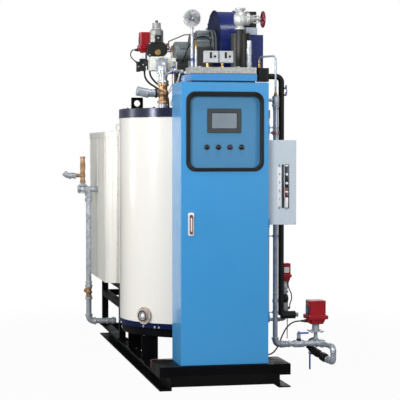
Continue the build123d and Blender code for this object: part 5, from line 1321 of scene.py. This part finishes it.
class MakeGasTrim(bpy.types.Operator):
    """Add the discs, knobs, nuts and small tubes of the gas train"""
    bl_idname = "boiler.gas_trim"
    bl_label = "Gas train trim"

    def execute(self, context):
        self.add_train_trim()
        self.add_outlet()
        self.add_connectors()
        return {"FINISHED"}

    def add_train_trim(self):
        """Trim of the gas block, the regulator above it and the tubes beside them."""
        trim = Piece("gas_train_trim", "black casting", "brass", "blue sleeve", "galvanised",
                     "dark red paint", "dull copper", "gas cream", "black plastic", "cast silver",
                     "bright bolt")
        base = box("gas_block")[0].z
        regulator, riser = at(-322, -669, base), at(*GAS_RISER, base)
        port = regulator + at(0, -50, 130)
        trim.collar(port, FRONT, 27, 10)
        trim.disc(port + FRONT * 5, FRONT, 20, 5, 28, 1)
        trim.bolt(port + FRONT * 10, FRONT, 9, 1, False)
        for x, z in product((-59, 59), (-18, 62)):
            trim.bolt(port + at(x, 2, z), FRONT, 5.5, 9, False)
        trim.block((-252, -712, base + 148), (-236, -668, base + 198), 3, 4)
        trim.bolt((-244, -712, base + 172), FRONT, 7, 9)
        trim.disc(regulator + UP * 345, UP, 11, 17, 24, 7)
        for spot in circle(regulator + UP * 287, UP, 42, 8):
            trim.bolt(spot, UP, 3.4, 9, False)
        trim.block((-346, -742, base + 205), (-298, -715, base + 211), 1.5, 7)
        trim.bolt((-322, -741.5, base + 232), FRONT, 5, 9)
        trim.ring(regulator + UP * 300, UP, 35, 3.5, 8, 32)
        trim.elbow(riser + UP * 44, DOWN, BACK, 40, 3, 1.5)
        trim.collar(riser + DOWN * 44, UP, 34, 12, 3)
        trim.union((*GAS_RISER, 2092), UP, 42, 18, 3)
        flange = riser + at(0, 76, 50)
        for x, z in product((-60, 60), (-44, 44)):
            trim.bolt(flange + at(x, 0, z) * cos(pi / 4), FRONT, 6, 9)
        trim.ring(flange + FRONT, FRONT, 47, 5, 6, 36)
        trim.block((-207, -718, base + 10), (-196, -624, base + 90), 3, 6)
        trim.block((-222, -745, 2236), (-186, -741, 2264), 1, 6)
        trim.block((-196, -745, 2160), (-186, -741, 2262), 1, 6)
        trim.bent(((-216, -741, 2236), (-216, -735, 2236), (-216, -727, 2240)), 4, 3)
        trim.bent(((-262, -690, base + 138), (-215, -735, 2312), (-150, -735, 2310)), 5.5, 3, 2)
        for x in (-238, -202):
            trim.union((x, -733, 2312), RIGHT, 9, 14, 1)
            trim.disc((x, -733, 2318), UP, 8, 12, 16, 2)
        trim.turned((-222, -730, 2312), UP, BRASS_CAP, 20, 1)
        trim.union((-172, -736, 2310), RIGHT, 8, 14, 1)
        for x, z in ((-230, 2193), (-236, 2151)):
            trim.disc((x, -838, z), FRONT, 9, 9, 16, 2)
            trim.union((x, -833, z), FRONT, 8, 10, 1)
            trim.bent(((x, -829, z), (x, -800, z), (-272, -800, z - 8)), 4, 1)
        trim.bent(((-236, -833, 2146), (-240, -836, 2110), (-236, -838, 2060),
                   (-262, -830, 2026)), 3, 5)
        trim.bent(((-230, -833, 2188), (-222, -840, 2150), (-216, -842, 2090),
                   (-236, -838, 2030), (-264, -826, 2012)), 2.6, 5)
        trim.bent(((-254, -770, base + 172), (-232, -770, 2330), (-238, -772, 2284),
                   (-226, -770, 2262)), 3, 5)
        trim.done("root")

    def add_outlet(self):
        """Nuts and sleeves of the relief valve and its outlet."""
        outlet = Piece("relief_outlet_fittings", "galvanised", "cast bronze", "black casting")
        outlet.collars(RIGHT, (-350, -800, 2009, 33, 14, 2), (-412, -800, 2010, 34.5, 12))
        outlet.collars(at(-0.97, 0, 0.21), (-480, -800, 2023, 34.5, 12))
        outlet.unions(UP, (*GAS_RISER, 1947, 44, 20, 1), (*GAS_RISER, 2070, 42, 22, 1))
        outlet.collars(UP, (*GAS_RISER, 2009, 43, 10, 1), (*GAS_RISER, 1920, 36, 14))
        outlet.bolt(at(*GAS_RISER, 2009) + FRONT * 45, FRONT, 15, 1, False)
        outlet.done("root")

    def add_connectors(self):
        """Ribs and screws of the three plugs beside the gas train."""
        plugs = Piece("connector_ribs", "black plastic", "bright bolt")
        for left, right, low, high in ((-456, -432, 2171, 2244), (-432, -390, 2176, 2266),
                                       (-378, -342, 2185, 2256)):
            for z in (low + 8, low + 16, high - 14, high - 6):
                plugs.block((left - 1.6, -611.6, z - 2), (right + 1.6, -575, z + 2))
            plugs.disc(((left + right) / 2, -610, (low + high) / 2), FRONT, 5, 2.5, 16, 1)
        plugs.done("root")


class MakeInstrumentTrim(bpy.types.Operator):
    """Add slots, nipples, bands and small tubes to the instruments on the tray"""
    bl_idname = "boiler.instruments"
    bl_label = "Instruments"

    def execute(self, context):
        trim = Piece("switch_faces", "black plastic", "brass", "bright bolt",
                     "brushed stainless")
        for x in (-84, 18):
            trim.block((x - 12, -1460.8, 2220), (x + 3, -1457, 2260), 0.8)
            for dx, z in product((-38, 38), (2199, 2261)):
                trim.disc((x + dx, -1460, z), FRONT, 3.2, 1.6, 14, 2)
            trim.block((x - 45, -1461, 2191), (x + 45, -1404, 2194), 0.6, 3)
            trim.disc((x + 22, -1460, 2232), FRONT, 8, 4, 20)
            trim.unions(UP, (x - 22, -1432.5, 2183, 12, 14, 1), (x - 22, -1432.5, 2164, 11, 10, 1))
            trim.collars(UP, (x - 22, -1432.5, 2174, 8.4, 16, 1))
            trim.unions(RIGHT, (x + 46.5, -1432, 2208, 8, 4))
        trim.done("root")

        pipes = Piece("stand_pipe_trim", "blue sleeve", "brass", "dull copper", "galvanised",
                      "brushed stainless", "black plastic")
        pipes.collars(UP, (-208, -1410, 2212, 10.5, 22), (184, -1420, 2168, 17, 6, 4),
                      *((184, -1420, z, 16.6, 5, 4) for z in (2222, 2262, 2300)))
        pipes.unions(UP, (-208, -1410, 2376, 14, 20, 4), (-208, -1410, 2300, 12, 12, 3),
                     (-182, -1410, 2290, 11, 12, 1), (-182, -1410, 2166, 13, 14, 3))
        pipes.turned((-182, -1410, 2294), UP, ((0, 0), (8.5, 0), (8.5, 26), (5, 32), (5, 38),
                                               (0, 38)), 20, 1)
        pipes.bent(((-182, -1410, 2330), (-182, -1410, 2352), (-190, -1408, 2368),
                    (-204, -1408, 2378)), 4, 2)
        pipes.turned((184, -1420, 2325), UP, ((0, 0), (15.5, 0), (15.5, 14), (9, 17), (0, 17)),
                     24, 5)
        pipes.done("root")

        tray = Piece("tray_trim", "bright bolt", "rust stain and painted highlight")
        low, high = box("instrument_tray")
        tray.block((low.x, -1500.6, 2114), (high.x, -1499, 2118), 0.5, 1)
        for n in range(5):
            tray.bolt((low.x + (high.x - low.x) * (n + 0.5) / 5, -1480, 2158), UP, 4)
        tray.unions(UP, *((x, -1390, 2164, 11, 12) for x in (-150, 120, 205)))
        tray.done("root")
        return {"FINISHED"}


FEED_MOTOR = at(-140, -700, 2316)


class MakeBlowerTrim(bpy.types.Operator):
    """Add the side plates painted dark as shade, ribs, rim and bolts of the blower and its motor
    """
    bl_idname = "boiler.blower_trim"
    bl_label = "Blower trim"

    def execute(self, context):
        low, high = box("blower_housing")
        left = at(low.x + 16, BLOWER_Y, BLOWER_Z)
        right = at(high.x - 16, BLOWER_Y, BLOWER_Z)
        self.add_painted_shade_plates(left, right)
        self.add_motor_trim(left)
        self.add_inlet_trim()
        self.add_feed_motor_trim()
        return {"FINISHED"}

    def add_painted_shade_plates(self, left, right):
        """Bolted rims on both sides of the scroll, over dark navy plates that are painted shade on
        its sides.
        """
        plate = Piece("blower_side_plate_painted_shade", "blower painted shade", "black bolt", "black casting")
        for middle, way, across in ((left, LEFT, FRONT), (right, RIGHT, BACK)):
            plate.slab(round_outline(256), middle - way * 0.4, across, UP, 2.4, 0,
                       round_outline(120))
            for spot in circle(middle + way * 2, way, 244, 16):
                if spot.z > 2150:
                    plate.bolt(spot, way, 6, 1, False)
        for n in range(8):
            spoke = ray(radians(22.5 + 45 * n), BACK, UP)
            plate.bolt(left + LEFT * 34 + spoke * 100, LEFT, 6.5, 1)
        plate.ring(left + LEFT * 17, RIGHT, 118.5, 4, 2, 48)
        plate.done("root")

    def add_motor_trim(self, left):
        """Fan cover and terminal box of the blower's motor."""
        motor = Piece("motor_trim", "motor grey", "pale grey panel", "black casting",
                      "bright bolt")
        end = left + LEFT * 160
        motor.turned(end + RIGHT * 2, LEFT, ((0, 0), (92, 0), (95, 3), (95, 8), (88, 14), (30, 16),
                                             (0, 16)), 48)
        for n in range(5):
            motor.ring(end + LEFT * 12.5, LEFT, 30 + 12 * n, 1.8, 2, 40, 6)
        x, y = left.x - 93, -808
        motor.plate((84, 92, 5), (x, y, 2452), RIGHT, BACK, 4, 1)
        for dx, dy in product((-34, 34), (-38, 38)):
            motor.bolt((x + dx, y + dy, 2456), UP, 3.4, 3, False)
        motor.block((x - 42, -862, 2430), (x + 42, -856, 2449), 1.5)
        motor.done("root")

    def add_inlet_trim(self):
        """Louvres, rims and the two boxes on top of the air inlet box."""
        inlet = Piece("inlet_box_trim", "blower blue", "black bolt", "pale grey panel",
                      "black casting")
        low, high = box("blower_inlet_box")
        for n in range(11):
            z = low.z + 30 + (high.z - low.z - 60) * n / 10
            inlet.block((high.x - 1, low.y + 30, z - 4), (high.x + 3, high.y - 30, z + 4), 1.2, 3)
        for z in (low.z + 3, high.z - 6):
            inlet.block((low.x, low.y - 3, z), (high.x, low.y, z + 4), 0.8)
        for x, z in product((low.x + 20, high.x - 20), (low.z + 18, high.z - 18)):
            inlet.bolt((x, low.y, z), FRONT, 5, 1)
        inlet.block((302, -826, high.z), (386, -694, 2484), 2, 2)
        inlet.block((308, -806, 2484), (384, -716, 2600), 3, 3)
        for z in (2520, 2560):
            inlet.block((306, -808, z), (386, -714, z + 5), 1.5, 3)
        inlet.done("root")

    def add_feed_motor_trim(self):
        """Fins, rim and box of the small motor, with the pipes that pass under it."""
        feed = Piece("feed_motor_trim", "motor grey", "galvanised", "dull copper")
        for n in range(16):
            angle = 2 * pi * n / 16
            way = ray(angle, BACK, UP)
            feed.slab(rectangle(90, 3), FEED_MOTOR + way * 66.5, RIGHT, ray(angle, UP, FRONT), 4)
        feed.ring((box("feed_motor")[0].x + 16, FEED_MOTOR.y, FEED_MOTOR.z), RIGHT, 66, 3, 0, 40)
        feed.block((-168, -776, 2330), (-112, -756, 2374), 3)
        feed.unions(RIGHT, (-222, -872, 2172, 16, 22, 1), (-176, -868, 2160, 16, 22, 1),
                    (-148, -872, 2152, 16, 22, 1))
        feed.bent(((-300, -800, 2118), (-262, -872, 2158), (-230, -872, 2172),
                   (-176, -868, 2160), (-110, -872, 2150), (-70, -868, 2146)), 8.5, 1)
        feed.bent(((-150, -880, 2152), (-168, -890, 2120), (-206, -888, 2092),
                   (-214, -880, 2050)), 5, 2)
        feed.bent(((-252, -860, 1916), (-250, -866, 1990), (-222, -872, 2060),
                   (-196, -872, 2110), (-190, -870, 2150)), 6, 1)
        feed.done("root")


CASING_LOW, CASING_HIGH = 552, 1706
CASING_FRONT = 363.6


class MakeCasingTrim(bpy.types.Operator):
    """Add seams and folds to the economizer, the jacket and the deck, and a painted highlight
    along the deck's back-left edge
    """
    bl_idname = "boiler.casing_trim"
    bl_label = "Casing trim"

    def execute(self, context):
        seams = Piece("economizer_seams", "dull stainless", "bright bolt")
        for x, (near, far) in product((-462, 0, 462), ((CASING_FRONT, 366), (1460, 1462.4))):
            seams.block((x - 9, near, CASING_LOW), (x + 9, far, CASING_HIGH), 0.8)
        for dy, (near, far) in product((-457, 0, 457), ((-552.4, -550), (550, 552.4))):
            y = ECONOMIZER_Y + dy
            seams.block((near, y - 9, CASING_LOW), (far, y + 9, CASING_HIGH), 0.8)
        for size, z, thick in (((1104, 1098, 92, 10), 550, 14), ((1106, 1100, 93, 10), 1696, 12)):
            seams.plate(size, (0, ECONOMIZER_Y, z), RIGHT, BACK, thick, 0, (1098, 1092, 89, 10))
        for x, n in product((-462, 462), range(9)):
            seams.disc((x, CASING_FRONT, 600 + 130 * n), FRONT, 4, 2, 12, 1)
        for side, y, n in product((-1, 1), (456, 1370), range(9)):
            seams.disc((side * 552.4, y, 600 + 130 * n), RIGHT * side, 4, 2, 12, 1)
        seams.done("root")

        flue = Piece("flue_flange", "dull stainless", "bright bolt")
        low, high = box("flue_duct")
        middle = (low.z + high.z) / 2
        flue.slab(rectangle(456, 396), (0, CASING_FRONT, middle), RIGHT, UP, 5, 0,
                  rectangle(420, 360))
        for x, n in product((-219, 219), range(5)):
            flue.bolt((x, CASING_FRONT - 5, middle - 160 + 80 * n), FRONT, 5, 1)
        flue.done("root")

        skirt = Piece("jacket_seams", "cream jacket", "bright bolt")
        skirt.block((-12, 104.2, 400), (12, 106.6, 1836), 0.8)
        for n in range(11):
            skirt.disc((0, 106.6, 440 + 136 * n), BACK, 4, 2, 12, 1)
        skirt.done("root")

        welds_and_highlight = Piece("steelwork_welds_and_painted_highlight", "black paint", "rust stain and painted highlight", "black rubber")
        for x, y in product((-366, 366), (-1520, -1180)):
            welds_and_highlight.bent(((x, y, 24), (x, y, 60), (x, y, 93)), 3)
        # A rust-coloured line along the deck's top back edge and down its back-left corner: a
        # painted highlight.
        welds_and_highlight.bent(((-300, -1168, 163), (-372, -1168, 162.5), (-440, -1168, 162)), 3.2, 1)
        welds_and_highlight.bent(((-440, -1168, 162), (-447, -1171, 161), (-449, -1172, 140),
                    (-449, -1172, 104)), 3.2, 1)
        welds_and_highlight.block((-296, -1498, 160), (296, -1490, 163), 0.8, 2)
        welds_and_highlight.done("root")

        under = Piece("under_boiler_valve", "galvanised", "black casting")
        valve = at(-410, 235, 210)
        under.union(valve + BACK * 65, BACK, 30, 26)
        under.collar(valve + BACK * 35, BACK, 26, 60)
        under.ball(valve, 33)
        under.bent((valve + BACK * 95, valve, (-410, 190, 205), (-380, 160, 200),
                    (-300, 150, 200)), 20)
        under.turned(valve + UP * 26, UP, ((0, 0), (15, 0), (12, 16), (9, 30), (0, 30)), 20, 1)
        under.done("root")
        return {"FINISHED"}


def main():
    """Build the whole scene."""
    register()
    for step in STEPS:
        group, name = step.bl_idname.split(".")
        getattr(getattr(bpy.ops, group), name)()


GROUPS = (BoilerSizes, BoilerColours)
STEPS = (MakeFinishes, MakeStage, MakeCables, MakeDoorFittings, MakeLevelGauge,
         MakePressureGauge, MakeFasteners, MakeSteamValve, MakeBlowdownFittings, MakeFeedFittings,
         MakeColumnFittings, MakeActuatorTrim, MakeGasTrim, MakeInstrumentTrim,
         MakeBlowerTrim, MakeCasingTrim)


class BoilerPanel(bpy.types.Panel):
    """Lists the steps and the main settings"""
    bl_idname = "VIEW3D_PT_boiler"
    bl_label = "Steam boiler"
    bl_space_type = "VIEW_3D"
    bl_region_type = "UI"
    bl_category = "Boiler"

    def draw(self, context):
        column = self.layout.column(align=True)
        for step in STEPS:
            column.operator(step.bl_idname)
        for group in (context.scene.boiler_sizes, context.scene.boiler_colours):
            for name in group.bl_rna.properties.keys():
                if name not in ("rna_type", "name"):
                    self.layout.prop(group, name)


def register():
    """Add the settings, steps and panel to Blender."""
    for group in GROUPS + STEPS + (BoilerPanel,):
        bpy.utils.register_class(group)
    bpy.types.Scene.boiler_sizes = PointerProperty(type=BoilerSizes)
    bpy.types.Scene.boiler_colours = PointerProperty(type=BoilerColours)


def unregister():
    """Take them out again."""
    del bpy.types.Scene.boiler_colours
    del bpy.types.Scene.boiler_sizes
    for group in reversed(GROUPS + STEPS + (BoilerPanel,)):
        bpy.utils.unregister_class(group)


if __name__ == "__main__":
    main()
